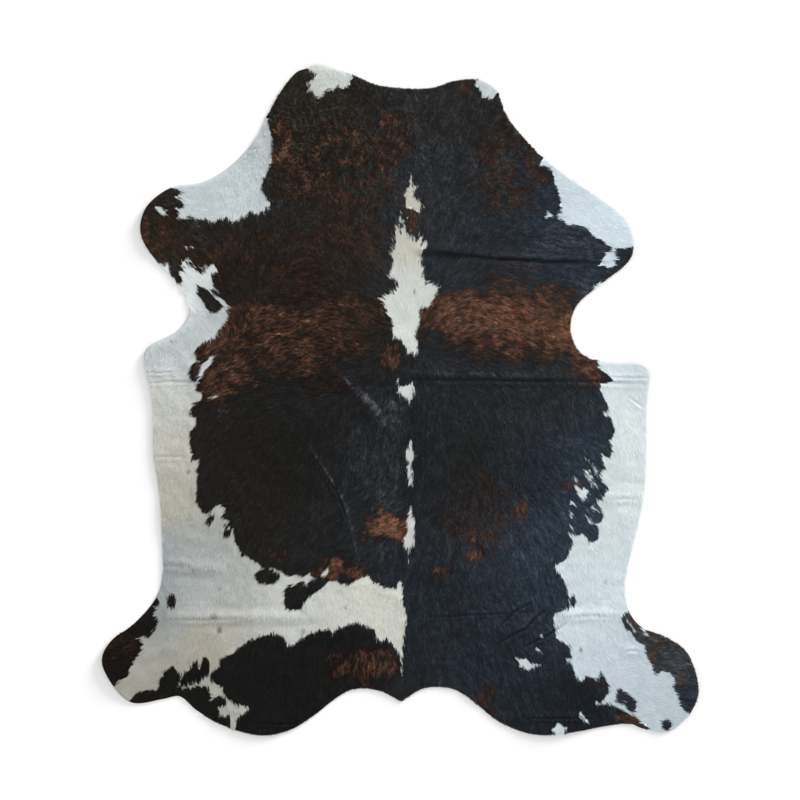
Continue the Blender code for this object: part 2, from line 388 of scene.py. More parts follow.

# %% [markdown]
# ## Fine creases
#
# The imported hide has the broad ridges that are left where it was stored folded. On each of them the leather
# also kept a sharp thin trough, and there are a few more where the flanks were pinched. Each is a short line
# of points. The trough has a low shoulder on both sides, as pressed leather has, and both fade
# out towards the line's ends.
# The hair in each trough is also coloured darker, as painted shade, and on its shoulders a little lighter, as a
# painted highlight.

# %% The creases: depth and reach in millimetres, how strong the painted shade in the trough and the painted highlight on its shoulders are, and its points
Crease = namedtuple("Crease", "place line depth reach dark")
CREASES = table(Crease, """
right shoulder: 2.6 10 1 6.2,46.2 21.9,45 31.2,44.1 43.8,43.4 66.2,42.8
right shoulder, by the blaze: 2 17 0.85 3.8,46.2 15.6,45.3 27.5,44.4
left shoulder: 0.8 5 0.14 -49.1,78.4 -41.9,79.1
right waist, upper: 0.8 5 0.2 64.7,7.5 71.9,7.2 77.8,7.5
right waist: 1.4 8 0.52 0,6.9 12.5,6.6 37.5,6.2 66.2,5.8 77.8,5.3
right waist, slanted: 0.6 5 0.12 70.9,1.6 76.6,-2.2
left waist, upper: 0.6 5 0.12 -79.1,9.1 -69.4,9.1
left waist: 0.4 6 0.16 -79.1,5.9 -69.4,5.9 -53.1,5.6
left belly: 0.5 7 0.06 -75.9,-17.2 -65.6,-17.2
left groin: 0.4 11 0.14 -75.6,-50.9 -70.3,-51.2 -63.4,-51.9
left thigh: 0.6 7 0.1 -75,-67.8 -62.5,-68.1 -46.9,-67.5
right rump, across: 0.6 4.5 0.45 3.8,-67.8 21.9,-66.9 47.5,-65.6
right rump, curved: 1.6 6.5 0.8 47.5,-64.4 43.1,-66.9 39.1,-71.2 31.2,-75
right rump, inner: 1.4 6 0.65 42.2,-62.5 35.9,-65.6 30.3,-71.2
right rump, outer: 1.2 6 0.65 51.9,-69.4 46.2,-73.1 37.5,-77.5
right thigh: 0.4 6 0.16 46.9,-67.2 59.4,-66.9 70.9,-67.2
right shin: 0.6 6 0.12 69.4,-78.1 75,-78.1
right belly: 0.6 7 0.08 64.1,-30.3 75,-30.3
left rump hem: 1.4 5 0.5 -45.3,-100.6 -37.5,-100.9 -29.7,-100.6
right rump hem: 1.4 4.5 0.45 35.9,-98.8 48.4,-99.1 61.6,-98.8
loin, by the sheen: 0.8 5 0.5 -25.6,-19.4 -19.4,-28.8 -15,-40.6
""")


# %% Smooth random numbers
LATTICE = 256  # the numbers repeat after so many patches
FINER = 0.6  # how much less each finer layer counts
LAYER_SPREAD = 0.184  # how much one layer varies, as the mean of its squares


def ripples(points, length, seed, layers=3):
    """Smooth random numbers over a place, mostly from -1 to 1, in patches of this length and finer ones."""
    rng = np.random.default_rng(seed)
    total, power, strength = np.zeros(len(points)), 0.0, 1.0
    for _ in range(layers):
        values = rng.uniform(-1, 1, (LATTICE, LATTICE))
        angle = rng.uniform(0, 2 * math.pi)
        turn = np.array(((math.cos(angle), -math.sin(angle)), (math.sin(angle), math.cos(angle))))
        spot = points @ turn / length + rng.uniform(0, LATTICE, 2)
        i, j = np.floor(spot).astype(int).T % LATTICE
        share = spot - np.floor(spot)
        u, v = (share**2 * (3 - 2 * share)).T
        k, l = (i + 1) % LATTICE, (j + 1) % LATTICE
        near, far = values[i, j] * (1 - v) + values[i, l] * v, values[k, j] * (1 - v) + values[k, l] * v
        total += strength * (near * (1 - u) + far * u)
        power += strength**2
        strength, length = strength * FINER, length / 2
    return total / math.sqrt(power * LAYER_SPREAD)


SHAKE_SIZE = 0.03
CREASE_SEEDS, BLOT_SEEDS = (11, 12), (31, 32)


def shaken(points, seeds, how_far):
    """The points, each moved a little, so that a shape which is read at them looks ragged."""
    return points + np.stack([ripples(points, SHAKE_SIZE, seed) for seed in seeds], axis=1) * how_far


print("ripples vary by", ripples(map_points, SHAKE_SIZE, CREASE_SEEDS[0]).std().round(2))


# %% How far along a line, and how far from it
CREASE_FADE, PAINTED_SHEEN_FADE = 0.98, 0.9


def bump(share):
    """A soft bump, 1 where share is 0 and down to 0 where it reaches 1."""
    return np.clip(1 - share**2, 0.0, None) ** 2


def faded(run, until):
    """1 in the middle of a line and less towards its ends. The nearer until is to 1, the less is left."""
    return np.sqrt(bump(np.clip(2 * run - 1, -1, 1) * until))


def along_line(points, line):
    """For each point, how far it is from the line and how far along the line its nearest place is, 0 to 1."""
    corners = np.array(line) * CM
    lengths = np.linalg.norm(np.diff(corners, axis=0), axis=1)
    start = np.concatenate(([0.0], np.cumsum(lengths)))
    nearest, run = np.full(len(points), np.inf), np.zeros(len(points))
    for i, length in enumerate(lengths):
        side = (corners[i + 1] - corners[i]) / length
        ahead = np.clip((points - corners[i]) @ side, 0.0, length)
        away = np.linalg.norm(points - corners[i] - ahead[:, None] * side, axis=1)
        closer = away < nearest
        nearest = np.where(closer, away, nearest)
        run = np.where(closer, start[i] + ahead, run)
    return nearest, run / start[-1]


print("left at a line's end", faded(np.array([1.0]), CREASE_FADE)[0].round(2))

# %% The relief that the creases make
CREASE_SHAKE = 0.8 * MM
SHOULDER_SHARE = 0.35  # how high a shoulder is, as a share of the trough's depth
SHOULDER_AT = 1.5  # how far from the line it is, as a share of the crease's reach


def pressed(points):
    """How far the creases lift or lower each point, and how strong their painted shade in the trough and
    painted highlight on the shoulders are.
    """
    relief, dark, bright = np.zeros((3, len(points)))
    moved = shaken(points, CREASE_SEEDS, CREASE_SHAKE)
    for crease in CREASES:
        away, run = along_line(moved, crease.line)
        fade = faded(run, CREASE_FADE)
        reach = crease.reach * MM
        trough = fade * bump(away / reach)
        shoulder = fade * bump((away - SHOULDER_AT * reach) / reach)
        relief += crease.depth * MM * (SHOULDER_SHARE * shoulder - trough)
        # painted shade in the trough and painted highlight on its shoulders
        dark = np.maximum(dark, crease.dark * trough)
        bright = np.maximum(bright, crease.dark * shoulder)
    return relief, dark, bright


print("deepest trough", in_mm(pressed(map_points)[0].min()), "mm")

# %% Soft blots
Blot = namedtuple("Blot", "place across along wide tall strength")
BLOT_FALL = 1.55  # a blot has faded out at this many times its size
BLOT_FULL = 1.30  # over 1, so that its middle is evenly full


def blotted(points, blots, raggedness=0.0):
    """How strong the blots are at each point: 1 in the middle of a full one, 0 outside, edges shaken."""
    moved = shaken(points, BLOT_SEEDS, raggedness)
    strength, hole = np.zeros((2, len(points)))
    for blot in blots:
        away = (moved - np.array((blot.across, blot.along)) * CM) / (np.array((blot.wide, blot.tall)) * CM)
        here = abs(blot.strength) * np.clip(BLOT_FULL * bump(np.linalg.norm(away, axis=1) / BLOT_FALL), 0, 1)
        if blot.strength > 0:
            strength = np.maximum(strength, here)
        else:
            hole = np.maximum(hole, here)
    return strength * (1 - hole)


one_blot = table(Blot, "a blot in the middle: 0 0 10 10 1")
print("in the middle of a blot", blotted(MIDDLE, one_blot)[0])

# %% The curls of the neck
CURLY = table(Blot, """
neck, left: -30 80 17 18 1
neck: -8 82 26 20 1
neck, right: 26 76 22 20 0.7
nape: -10 62 18 10 0.5
left foreleg: -72 54 10 10 0.3
""")
CURL_GAP = 0.0165
CURL_STEP = 0.001
CURL_SEED = 43
CURL_LAYERS = 2
CREST_FALL = 1.0
TINY = 1e-6  # keeps a division from zero


def curls(points):
    """How high curly locks stand, 1 on a crest and 0 in the gaps, and the two-way direction along them."""
    strength = blotted(points, CURLY)
    moved = [points, points + (CURL_STEP, 0.0), points + (0.0, CURL_STEP)]
    here, right, ahead = [ripples(place, CURL_GAP, CURL_SEED, CURL_LAYERS) for place in moved]
    along = np.stack((here - ahead, right - here), axis=1)
    along /= np.maximum(np.linalg.norm(along, axis=1), TINY)[:, None]
    return strength * np.clip(1 - CREST_FALL * np.abs(here), 0, 1), along * strength[:, None]


print("curly share of the map", (blotted(map_points, CURLY) > 0).mean().round(3))

# %% The height of the leather at any place
SKIN_DEPTH = 2.4 * MM
THINNEST = 1.2 * MM
CURL_HEIGHT = 0.9 * MM
WAVINESS = 0.35 * MM
WAVE_LENGTH, WAVE_SEED, WAVE_LAYERS = 0.05, 21, 2


def under_height(points):
    """The height of the flesh side over the floor."""
    lying = read_map(height_map, points)
    return np.clip(lying + np.minimum(pressed(points)[0], 0.0), 0.0, None)


def top_height(points):
    """The height of the skin that the hair grows from."""
    lying = read_map(height_map, points)
    wave = WAVINESS * ripples(points, WAVE_LENGTH, WAVE_SEED, WAVE_LAYERS)
    wave += CURL_HEIGHT * curls(points)[0]
    top = np.maximum(lying + pressed(points)[0] + wave + SKIN_DEPTH, THINNEST)
    return np.maximum(top, under_height(points) + THINNEST)


print("hair side in the middle", in_mm(top_height(MIDDLE)[0]), "mm up")

# %% [markdown]
# ## White patches and dark islands
#
# The markings of a hide are patches with ragged borders, because the hair of one colour lies over the hair of
# the other. Each white patch is a ring of points along its border. Where a patch runs off the
# hide its ring simply goes on past the cut edge. Dark islands are left out of the white again.

# %% Rings of the white patches
Ring = namedtuple("Ring", "place line")
WHITE_PATCHES = table(Ring, """
white tip of the neck, left: -30,104.1 -27.5,102.5 -26.4,101.1 -27.3,100 -29.2,98.8 -28.4,97.8 -29.2,96.6
-27.7,95.8 -27.3,94.7 -24.5,94.1 -23.3,95.3 -23.4,96.2 -22,96.4 -21.1,95.8 -20.5,96.9 -20,98 -17.8,97
-15.8,98 -15.6,99.7 -14.8,100.5 -15,101.6 -13.8,104.4 -21.9,108.1 -30.6,106.9
white tip of the neck, right: 22.8,98.6 23.8,97.8 25,97.2 25.3,95.3 25.6,94.1 27.2,94.5 28.8,93.8 29.7,94.8
30.9,96.2 32.8,98 28.8,101.9 25,101.2 24.2,99.5
left shoulder: -41.6,87.8 -40.6,83.4 -39.7,81.2 -39.9,78.1 -40.2,73.8 -41.6,70.9 -42.7,68.1 -43,65
-41.9,63.1 -40.6,61.4 -40.6,59.8 -42.2,59.4 -42.7,58.1 -44.7,57.8 -45.9,57.8 -46.9,58.9 -47.5,58.3
-47.8,56.9 -49.7,56.6 -50,55.6 -53.3,55.6 -53.8,56.4 -56.9,56.4 -57.5,55.5 -59.1,55 -60,55.5 -60.6,56.2
-62.8,56.2 -64.7,56.9 -65.6,57.3 -66.4,56.4 -68.1,56.1 -70,56.7 -68.9,58 -69.8,59.7 -67.5,60.2 -68.4,62.7
-70.2,63.4 -68.1,64.5 -71.9,66.6 -73.1,70 -62.5,72.5 -54.7,77.5 -48.4,85 -44.4,91.2
spot on the left foreleg: -76.4,60 -74.7,60.5 -73.1,59.1 -72.8,57.7 -74.1,57.2 -75.3,58.4
left flank and rump: -78.1,45 -75.5,42 -74.4,42.7 -73.1,42.5 -72.2,41.6 -71.9,40 -71.1,38 -69.2,35.9
-67.8,37.5 -68.6,40 -67.2,40.2 -68.1,41.6 -67.7,43.1 -67,44.2 -65.5,43.6 -66.1,42.7 -65.6,41.4 -63.6,41.1
-62.5,39.8 -60.6,40.5 -62.2,41.4 -61.2,41.9 -59.7,41.4 -58.8,42.3 -57,40.9 -57.5,39.7 -58.8,39.2 -58.6,37.2
-58,35.6 -56.9,34.2 -58.4,34.4 -59.1,34.1 -57.7,32.8 -55.3,31.2 -52.8,29.2 -53.8,27.5 -53.1,25.9 -55.5,22.7
-57.8,19.2 -60.6,18 -62.8,16.6 -63.9,14.4 -63.6,12 -60.9,12.1 -59.7,13.1 -57.7,14.2 -58.8,11.9 -60.4,10.2
-61.3,8.4 -62.6,6.5 -63.4,4.5 -63.9,2.8 -62.5,2.5 -61.9,1.2 -62.2,-0.3 -65,-2.2 -65.6,-4.7 -63.8,-6.2
-63.6,-8.4 -65.3,-10.6 -65.9,-13.1 -65.3,-15.3 -65,-18.8 -62.8,-18.8 -63.4,-22.5 -63.4,-26.9 -63.6,-31.9
-61.9,-35 -60.6,-35.9 -58.4,-34.1 -56.6,-32.5 -54.8,-33.8 -55.6,-36.9 -53.4,-38.1 -54.8,-39.4 -52.2,-40.3
-51.9,-43.8 -50.3,-46.2 -49.7,-49.1 -47.5,-49.1 -44.1,-51.4 -43,-52.8 -39.4,-52.7 -36.6,-53.9 -35,-55
-32.5,-55 -30.3,-55.3 -28.6,-54.1 -27.8,-55.5 -26.2,-55.8 -28.3,-56.7 -29.1,-58.8 -29.8,-58.4 -30.2,-57
-31.9,-57.3 -33.4,-58.3 -35,-58.1 -36.1,-59.7 -36.2,-63.6 -35.3,-65.2 -34.4,-65.5 -30.9,-65.5 -30,-63.6
-28.8,-62.3 -26.2,-60 -25,-59.5 -23.8,-57.8 -22.5,-56.7 -20.9,-56.6 -20,-56.2 -18.3,-57.7 -16.6,-57.8
-13.4,-56.5 -10.3,-54.9 -8.1,-57.2 -5.6,-58.1 -3.4,-58.8 -1.2,-58.8 -0.3,-56.9 0.3,-56.9 0.9,-62.2 2.2,-68.1
1.1,-74.7 0.9,-81.2 0.7,-86.9 0.3,-83.8 -0.1,-79.7 -1.4,-78.1 -3,-76.1 -4.1,-74.7 -5.6,-75.8 -7,-75.2
-7.8,-72 -9.7,-71.6 -11.6,-70.5 -13.3,-69.8 -15.3,-70.4 -17.5,-71 -20,-72.1 -20.9,-73.8 -21.7,-72.2
-25.3,-72.3 -29.7,-73.9 -31.9,-76.1 -34.4,-77.5 -35.9,-75.6 -37.2,-74.1 -39.1,-73.4 -43.4,-74.1 -46.6,-75.2
-49.1,-76.7 -50.9,-78.1 -52.2,-79.4 -54.4,-80 -55.9,-81.2 -56.6,-83.1 -58.4,-85 -59.4,-86.8 -57,-89.2
-55.9,-89.5 -55.3,-91.2 -54.4,-93 -52.2,-94.8 -50,-95.3 -47.2,-96.2 -46.9,-96.7 -48.3,-98.1 -49.8,-99
-51.1,-100 -51.4,-101.9 -51.6,-108.8 -96.9,-108.8 -100,-62.5 -81.9,-50 -85,15.6 -85,31.2
right shoulder: 44.1,75 43.6,73 45.5,72.8 47.2,72 48.1,70 48.3,67.5 49.4,65.6 50.2,62.8 50,60.9 50.6,59.2
49.2,58 49.1,56.7 51.2,55.9 52.5,54.4 55.6,54.7 58.1,53.9 59.4,52.3 61.6,50.5 63.3,50 63.9,48.9 65.2,48
65.9,47.7 65.8,46.7 64.2,45.9 63.9,44.8 63,43.4 62.2,41.4 63.8,41.7 65,41.1 66.2,41.4 67.7,42 67.5,42.8
66.6,43 68.1,43.8 69.1,45 67.8,44.7 67.5,45.9 67.7,46.9 70,47.3 72.8,48 78.8,49.4 75,60.9 62.5,70.3 50,78.1
spot on the right shoulder: 45.3,57 46.7,59.4 48,57.3 46.6,56.9
slit over the right armpit: 60.6,35 61.6,36.2 62.8,37.2 63.8,36.6 61.9,34.4
right flank: 62.3,12.2 62,10.3 63.8,8.4 65.3,7.3 66.7,5.8 63.3,5.2 62.3,3.4 63.8,0 65.2,-2.7 64.4,-4.1
63.1,-3.8 64.4,-5.3 65.9,-5.6 67.2,-9.7 66.2,-12.5 65,-12.7 66.1,-13.6 66.4,-16.6 65.9,-17.8 64.7,-18.4
63.1,-17 63.6,-19.1 64.2,-21.4 62.7,-22.3 62.3,-24.1 63.9,-26.6 64.7,-25.9 65,-28.3 63.6,-30.2 62.7,-31.9
61.2,-30.9 62,-33.1 63,-34.8 63.6,-36.7 63.1,-38.1 61.7,-38.9 62.3,-43.4 59.1,-44.8 57.5,-41.9 54.7,-42.5
52.8,-41.6 54.1,-44.8 51.9,-50 50,-50.9 48,-52.5 50,-54.7 51.9,-58.1 52.5,-60.9 52.8,-65 50.3,-66.2
48.4,-66.6 48,-67.5 48.1,-69.1 48.9,-72.5 48.8,-74.7 51.2,-75.8 53.3,-77.5 53.4,-80.5 51.6,-81.2 53.8,-83.1
54.5,-85.8 55.8,-88 57.2,-88.1 58.1,-86.6 60,-86.7 61.4,-87.7 62.3,-86.7 62.8,-85.2 63.5,-86.9 64.6,-88.4
65.2,-91.2 64.2,-93 62.8,-94.5 60.9,-94.2 61.6,-95.2 63.1,-95.8 64.8,-95 66.2,-95.6 68.1,-96.2 70,-97.2
71.9,-98.3 74.1,-99.5 75.9,-100.9 78.1,-103.1 78.8,-108.8 100.6,-108.8 100.6,-78.1 83.8,-64.1 83.8,15.6
62.5,16.9
fleck by the right flank, top: 57.3,-21.9 59.1,-22.2 60.3,-23.6 60.9,-25 61.7,-26.6 60.2,-26.9 59.1,-25.3
58,-23.8
fleck by the right flank, small: 53.8,-24.2 55.5,-24.8 55.2,-25.6 54.1,-25.2
fleck by the right flank, side: 60.5,-21.6 61.7,-22.3 62.3,-24.7 61.4,-24.1
fleck by the right flank, below: 53,-39.1 54.2,-39.7 54.5,-40.8 53.3,-40.2
fleck by the right flank, large: 54.7,-26.7 55.9,-27.8 57.5,-28.3 58.6,-27.8 59.2,-29.4 58.1,-31.1
56.6,-30.9 55.3,-28.8
fleck by the right flank, inner: 53,-31.9 54.7,-31.4 54.8,-32.8 53.4,-33.3
fleck by the right flank, low: 52.7,-35.3 54.1,-35.2 54.5,-36.7 53.4,-37
fleck by the right flank, thin: 58.1,-18.3 59.4,-19.1 60.5,-20.8 59.5,-20
fleck by the right flank, outer: 59.7,-32.3 60.8,-33 61.7,-35 60.5,-34.7
fleck by the right flank, last: 58.1,-36.2 59.4,-36.7 60.5,-39.1 59.2,-38.8
rump spot: 35.9,-80.5 37.8,-81.2 39.7,-80.9 40.9,-82.3 44.1,-82.9 41.9,-84.3 39.5,-84.5 37.7,-83.6
rump fleck, upper: 43.6,-72.7 44.7,-73.8 44.8,-74.8 43.9,-74.2
rump fleck, middle: 42.5,-77.5 43.8,-78.1 44.5,-79.4 43.1,-78.9
rump fleck, low: 55.6,-98 56.9,-97.3 57.5,-98.8 58.8,-100.8 57.3,-100.2 56.2,-99.2
spot on the rump's edge: 47.3,-103.4 48.4,-102 49.4,-101.1 50.3,-101.2 51.2,-102 52.2,-102.3 51.6,-103.6
50.8,-104.2 50.6,-108.8 48.4,-108.8 48.4,-103.9
wisp on the neck: 3.4,70.9 3.9,69.7 3.8,68.1 3.4,66.2 3,66.4 3.2,68.4
tuft on the neck: 1.2,64.7 2,66.1 3.1,66.9 5.8,66.7 4.1,65.3 4.4,63.4 5.9,62.3 7.3,60.6 6.4,58.3 3.9,59.5
1.6,60.3
wisp over the blaze: 0.6,59.4 0.8,58.1 0,56.9 0.5,56.6 1.6,57 1.2,55.9 0,55.2 -0.5,56.7 0,58.1
blaze on the withers: -1.6,54.1 -0.5,55 0.5,53.1 1.2,53.9 2.2,52.2 3.4,51.1 4.2,52 4.8,50.3 6.1,50 6.9,50.9
6.7,48.8 7.7,49.1 7.3,47.2 6.6,45.6 7.2,44.1 7.3,41.6 7.5,38.1 9.7,36.9 12.2,35.6 11.2,32.2 10,29.7 7.5,29.1
6.2,26.6 5.9,23.1 4.8,20.3 5.6,17.7 4.8,12.7 3.6,14.7 2.5,13.9 0.3,18.4 -2.2,19.4 -2.8,25.6 -4.2,27.8
-6.6,31.9 -4.1,33 -1.2,34.7 -1.6,37.3 -3.8,38.1 -2.5,41.6 -2.2,43.4 -3.6,45.8 -2.5,47.5 -1.9,50
back fleck under the blaze: -0.9,7.2 0,4.1 1.9,4.4 4.1,5.3 4.4,2.5 3.1,-2.2 1.9,0.2 -0.9,1.9
back fleck, middle: 3.1,-13.4 4.7,-17.5 3.8,-19.4 3.9,-26.6 2.2,-26.9 2.5,-19.4 1.6,-19.1 2.2,-15.2
back fleck, low: 3.4,-33.4 5,-40 4.4,-45.3 3.1,-46.9 2.7,-50.6 1.7,-46.6 0.8,-43.8 1.9,-42.5 2.2,-37.5
fleck over the left rump: -25,-55.3 -24.1,-53.4 -22.5,-52.5 -22.3,-54.1 -23.8,-55.5
""")

# %% Rings of the dark islands inside the white
DARK_ISLANDS = table(Ring, """
lobe on the left flank: -63.8,11.9 -62.4,11.2 -62.4,9.7 -63,7.5 -63.9,5.5 -65.6,6.6 -66.2,9.2 -65.5,10.8
island under the left foreleg: -63.1,35.8 -61.9,35 -59.7,33.6 -58,32.2 -56.6,30.6 -55.3,29.1 -55.9,28.3
-56.9,27.3 -58.9,27.2 -60.6,29.2 -61.9,31.2 -63.1,33.1
fleck at the left flank: -60.3,-38.8 -60,-36.9 -58.4,-35.9 -58.3,-37.5 -59.4,-39.2
fleck at the left flank, lower: -55.3,-42.5 -54.4,-40.9 -52.8,-40.3 -52.8,-41.9 -54.4,-43.1
island on the left rump: -45.5,-54.4 -43.8,-53.3 -41.6,-52.8 -39.7,-53.3 -38.3,-54.7 -37.7,-55.5 -38.8,-57
-41.1,-57.5 -44.2,-57.3 -45.2,-55.9
spot on the left thigh: -72.5,-61.6 -71.6,-60.5 -70.6,-61.9 -69.8,-63.1 -70.6,-64.8 -72.5,-65.2 -72.8,-63.4
left toe: -75.3,-60.6 -76.2,-61.6 -75,-63 -75.9,-64.4 -77,-64.4 -75.6,-65.5 -76.2,-66.2 -77.3,-67 -75.6,-68
-76.1,-69.7 -76.6,-71.6 -78.4,-73.4 -80.3,-74.1 -82.5,-74.5 -80.9,-75.3 -80.2,-76.4 -80.9,-78.4 -82.2,-80.3
-83.4,-82.5 -84.4,-84.7 -85.3,-86.9 -88.1,-88.4 -89.2,-89.4 -92.5,-91.2 -97.5,-82.8 -93.8,-71.2 -81.9,-63.1
-77.2,-59.4
band across the left shin: -85,-95 -84.1,-93.4 -82.2,-91.7 -80.3,-90.9 -79.1,-90.6 -77.5,-90.5 -75.6,-90.2
-75.2,-88.4 -74.5,-86.2 -73.8,-84.5 -72.3,-84.1 -71.1,-83.1 -69.7,-84.5 -68.8,-85.2 -68.6,-87.2 -69.5,-89.7
-69.1,-89.8 -68.4,-88.1 -68.3,-85.9 -67.2,-84.7 -65.6,-84.1 -64.7,-82.5 -63.4,-81.6 -63,-83.8 -62.7,-84.4
-62.3,-82.2 -61.4,-80.5 -60,-80.3 -59.5,-82.7 -59.5,-84.7 -60.2,-86.2 -62.5,-87.5 -64.7,-88.3 -66.9,-89
-68.3,-89.5 -68,-90.2 -65.9,-90.1 -63.6,-89.4 -61.6,-89.1 -59.7,-90 -59.7,-91.9 -59.4,-93.3 -59.5,-94.3
-58.8,-94.1 -58,-93.1 -56.6,-92.5 -55.3,-92.7 -54.2,-93.9 -54.2,-95.3 -55.9,-95.9 -57,-96.2 -56.3,-97.7
-56.7,-99.1 -55.7,-98.8 -54.5,-99.4 -53.4,-98.4 -53,-101.9 -53.4,-108.8 -68.8,-101.6 -84.4,-100
fleck at the right groin: 53,-61.6 54.4,-61.2 55.2,-62.8 54.5,-64.5 53.1,-63.9
spot on the right shin: 67.7,-93.1 68,-90.6 68.9,-90.2 70,-91.9 70.6,-90.9 71.9,-92.5 73.9,-94.1 73.9,-96.1
73.1,-97.8 71.4,-96.9 70.6,-95.8 70.5,-94.4 69.1,-95.2 68,-94.4
fleck on the right sole: 81.9,-100.6 83.8,-99.7 85,-101.9 83.4,-103.3 82.2,-102.5
right toe: 69.5,-67.2 69.4,-69.1 70.6,-71.7 72.5,-72.5 73.8,-74.4 75,-75.9 76.4,-77 77.5,-80 78.6,-82.8
80.3,-85.8 81.2,-85 82.5,-84.4 84.4,-85.5 86.1,-87.3 85.5,-89.7 86.6,-91.2 87.5,-93.8 87.7,-95.6 90,-97.8
95.6,-100.6 98.8,-87.5 92.2,-74.4 78.1,-66.2 73.8,-66.2 71.6,-66.4
""")

# %% Small flecks of white hair, and where hair of one colour reaches over the other in long wisps
Fleck = namedtuple("Fleck", "place across along long wide heading")
FLECKS = table(Fleck, """
foreleg, dash: -66.2 47.5 1.4 0.3 5
slit by the right hock: 76.6 -72.7 1.6 0.3 -47
inner slit by the right hock: 72.2 -70.6 1.7 0.4 -60
left waist: -58.1 0.9 2.2 0.4 8
""")
WISPS = table(Blot, """
blaze: 2.5 47.5 7.5 10 1
corners of the blaze: 3.1 32.8 10.6 5 1
neck tuft: 3.8 63.8 3.8 5.6 0.35
left foreleg: -65.6 41.9 9.4 5.6 0.45
left foreleg, upper: -67.2 58.8 9.4 4.4 0.3
left shoulder: -48.4 57.8 7.8 3.1 0.15
neck tips: -25 98.4 9.4 5 0.25
left toe: -78.1 -75 7.5 13.8 0.3
left shin: -62.5 -87.5 15.6 8.1 0.3
left groin: -57.5 -35.9 6.9 7.5 0.25
right flank: 58.8 -28.8 7.5 13.8 0.3
right toe: 79.7 -87.5 10.6 9.4 0.17
right hock: 73.8 -70 4.4 4.4 0.2
back: 2.8 -21.9 3.8 34.4 0.25
left flank: -64.1 0 6.2 28.1 0.15
right thigh: 51.6 -78.1 7.5 12.5 0.15
""")


# %% How far a place is inside the white
def white_reach(points):
    """How far each point is inside the white hair, below zero in the dark."""
    reach = np.full(len(points), -FAR)
    for ring in WHITE_PATCHES:
        reach = np.maximum(reach, reach_into(points, np.array(ring.line) * CM))
    for ring in DARK_ISLANDS:
        reach = np.minimum(reach, -reach_into(points, np.array(ring.line) * CM))
    for fleck in FLECKS:
        heading = math.radians(fleck.heading)
        way = np.array((math.cos(heading), math.sin(heading)))
        away = points - np.array((fleck.across, fleck.along)) * CM
        ahead, aside = away @ way / (fleck.long * CM), away @ (-way[1], way[0]) / (fleck.wide * CM)
        reach = np.maximum(reach, (1 - np.hypot(ahead, aside)) * fleck.wide * CM)
    return reach


white_map = white_reach(map_points).reshape(map_shape)
print("white share of the hide", round(float((white_map > 0)[room_map > 0].mean()), 3))

# %% [markdown]
# ## The way the hair lies
#
# Hair on a hide flows: out of the whorl on the withers, up the neck, down the back and outwards over the
# flanks. A few strokes say which way it lies at some places, and between them the nearest strokes are mixed.
# On the neck the coat is curly, so there the hair also follows the crests of the locks.

# %% Strokes of the comb, 0 degrees to the right and 90 towards the neck
Stroke = namedtuple("Stroke", "place across along heading")
COMBING = table(Stroke, """
nape: 3.4 68.8 90
neck, left tip: -26.6 96.9 -120
loin, left: -5 -40 -160
loin, lower left: -20.3 -51.9 -140
neck: -9.4 90.6 95
right neck: 21.9 87.5 80
right neck, low: 37.5 65.6 -20
blaze, top: 2.5 53.8 90
blaze, left: -3.8 46.9 122
blaze, right: 8.1 46.9 58
blaze, left corner: -5.3 31.9 148
blaze, right corner: 11.6 34.4 42
blaze, middle: 2.5 31.2 90
left band by the blaze: -9.4 23.4 160
right band by the blaze: 14.1 25 18
below the blaze: 1.6 15.6 -90
back: 2.5 -15.6 -90
loin: 2.5 -46.9 -90
tail: 0.6 -78.1 -90
left back: -21.9 -15.6 -110
left ribs: -53.1 -15.6 -130
left waist: -53.8 7.8 -165
left band, low: -31.2 11.9 -172
left flank: -71.9 -15.6 -110
left shoulder: -31.2 25 -170
right shoulder: 31.2 25 -25
right back: 25 -15.6 -75
right ribs: 62.5 -25 -50
right flank: 71.9 -25 -75
left shoulder border: -50 56.9 -100
left foreleg: -68.1 61.2 -25
left foreleg, outer: -77.5 55.6 -50
left foreleg, prongs: -64.1 42.2 -38
left armpit: -70.3 35.9 -75
island under the foreleg: -58.8 31.2 -48
right foreleg: 62.5 53.1 -20
right foreleg tip: 68.8 46.9 -10
left shin: -67.2 -82.8 100
left toe: -84.4 -78.1 30
left rump: -15.6 -65.6 -90
left thigh: -62.5 -59.4 -95
right thigh: 62.5 -62.5 -75
right toe: 84.4 -84.4 -10
right rump: 31.2 -78.1 -60
left rump lobe: -43.8 -93.8 -100
right rump lobe: 43.8 -96.9 -80
""")

# %% The lay of the hair at any place
COMB_SOFTNESS = 0.05
COMB_FALL = 2  # the greater it is, the less do far strokes count
WANDER = math.radians(9)
WANDER_LENGTH, WANDER_SEED = 0.05, 41
LOCK_PULL = 1.6  # how much more the locks count than the comb where the coat is curly


def lay_of_hair(points):
    """The way the hair lies at each point, flat, one metre long."""
    places = np.array([(stroke.across, stroke.along) for stroke in COMBING]) * CM
    heading = np.radians([stroke.heading for stroke in COMBING])
    ways = np.stack((np.cos(heading), np.sin(heading)), axis=1)
    lay = np.zeros((len(points), 2))
    total = np.zeros(len(points))
    for place, way in zip(places, ways):
        weight = 1 / (((points - place) ** 2).sum(axis=1) + COMB_SOFTNESS**2) ** COMB_FALL
        lay += weight[:, None] * way
        total += weight
    lay /= total[:, None]
    locks = curls(points)[1]
    lay += LOCK_PULL * locks * np.sign((locks * lay).sum(axis=1))[:, None]
    turn = WANDER * ripples(points, WANDER_LENGTH, WANDER_SEED)
    cos, sin = np.cos(turn), np.sin(turn)
    lay = np.stack((lay[:, 0] * cos - lay[:, 1] * sin, lay[:, 0] * sin + lay[:, 1] * cos), axis=1)
    return lay / np.maximum(np.linalg.norm(lay, axis=1), TINY)[:, None]


print("lay in the middle", lay_of_hair(MIDDLE)[0].round(2))
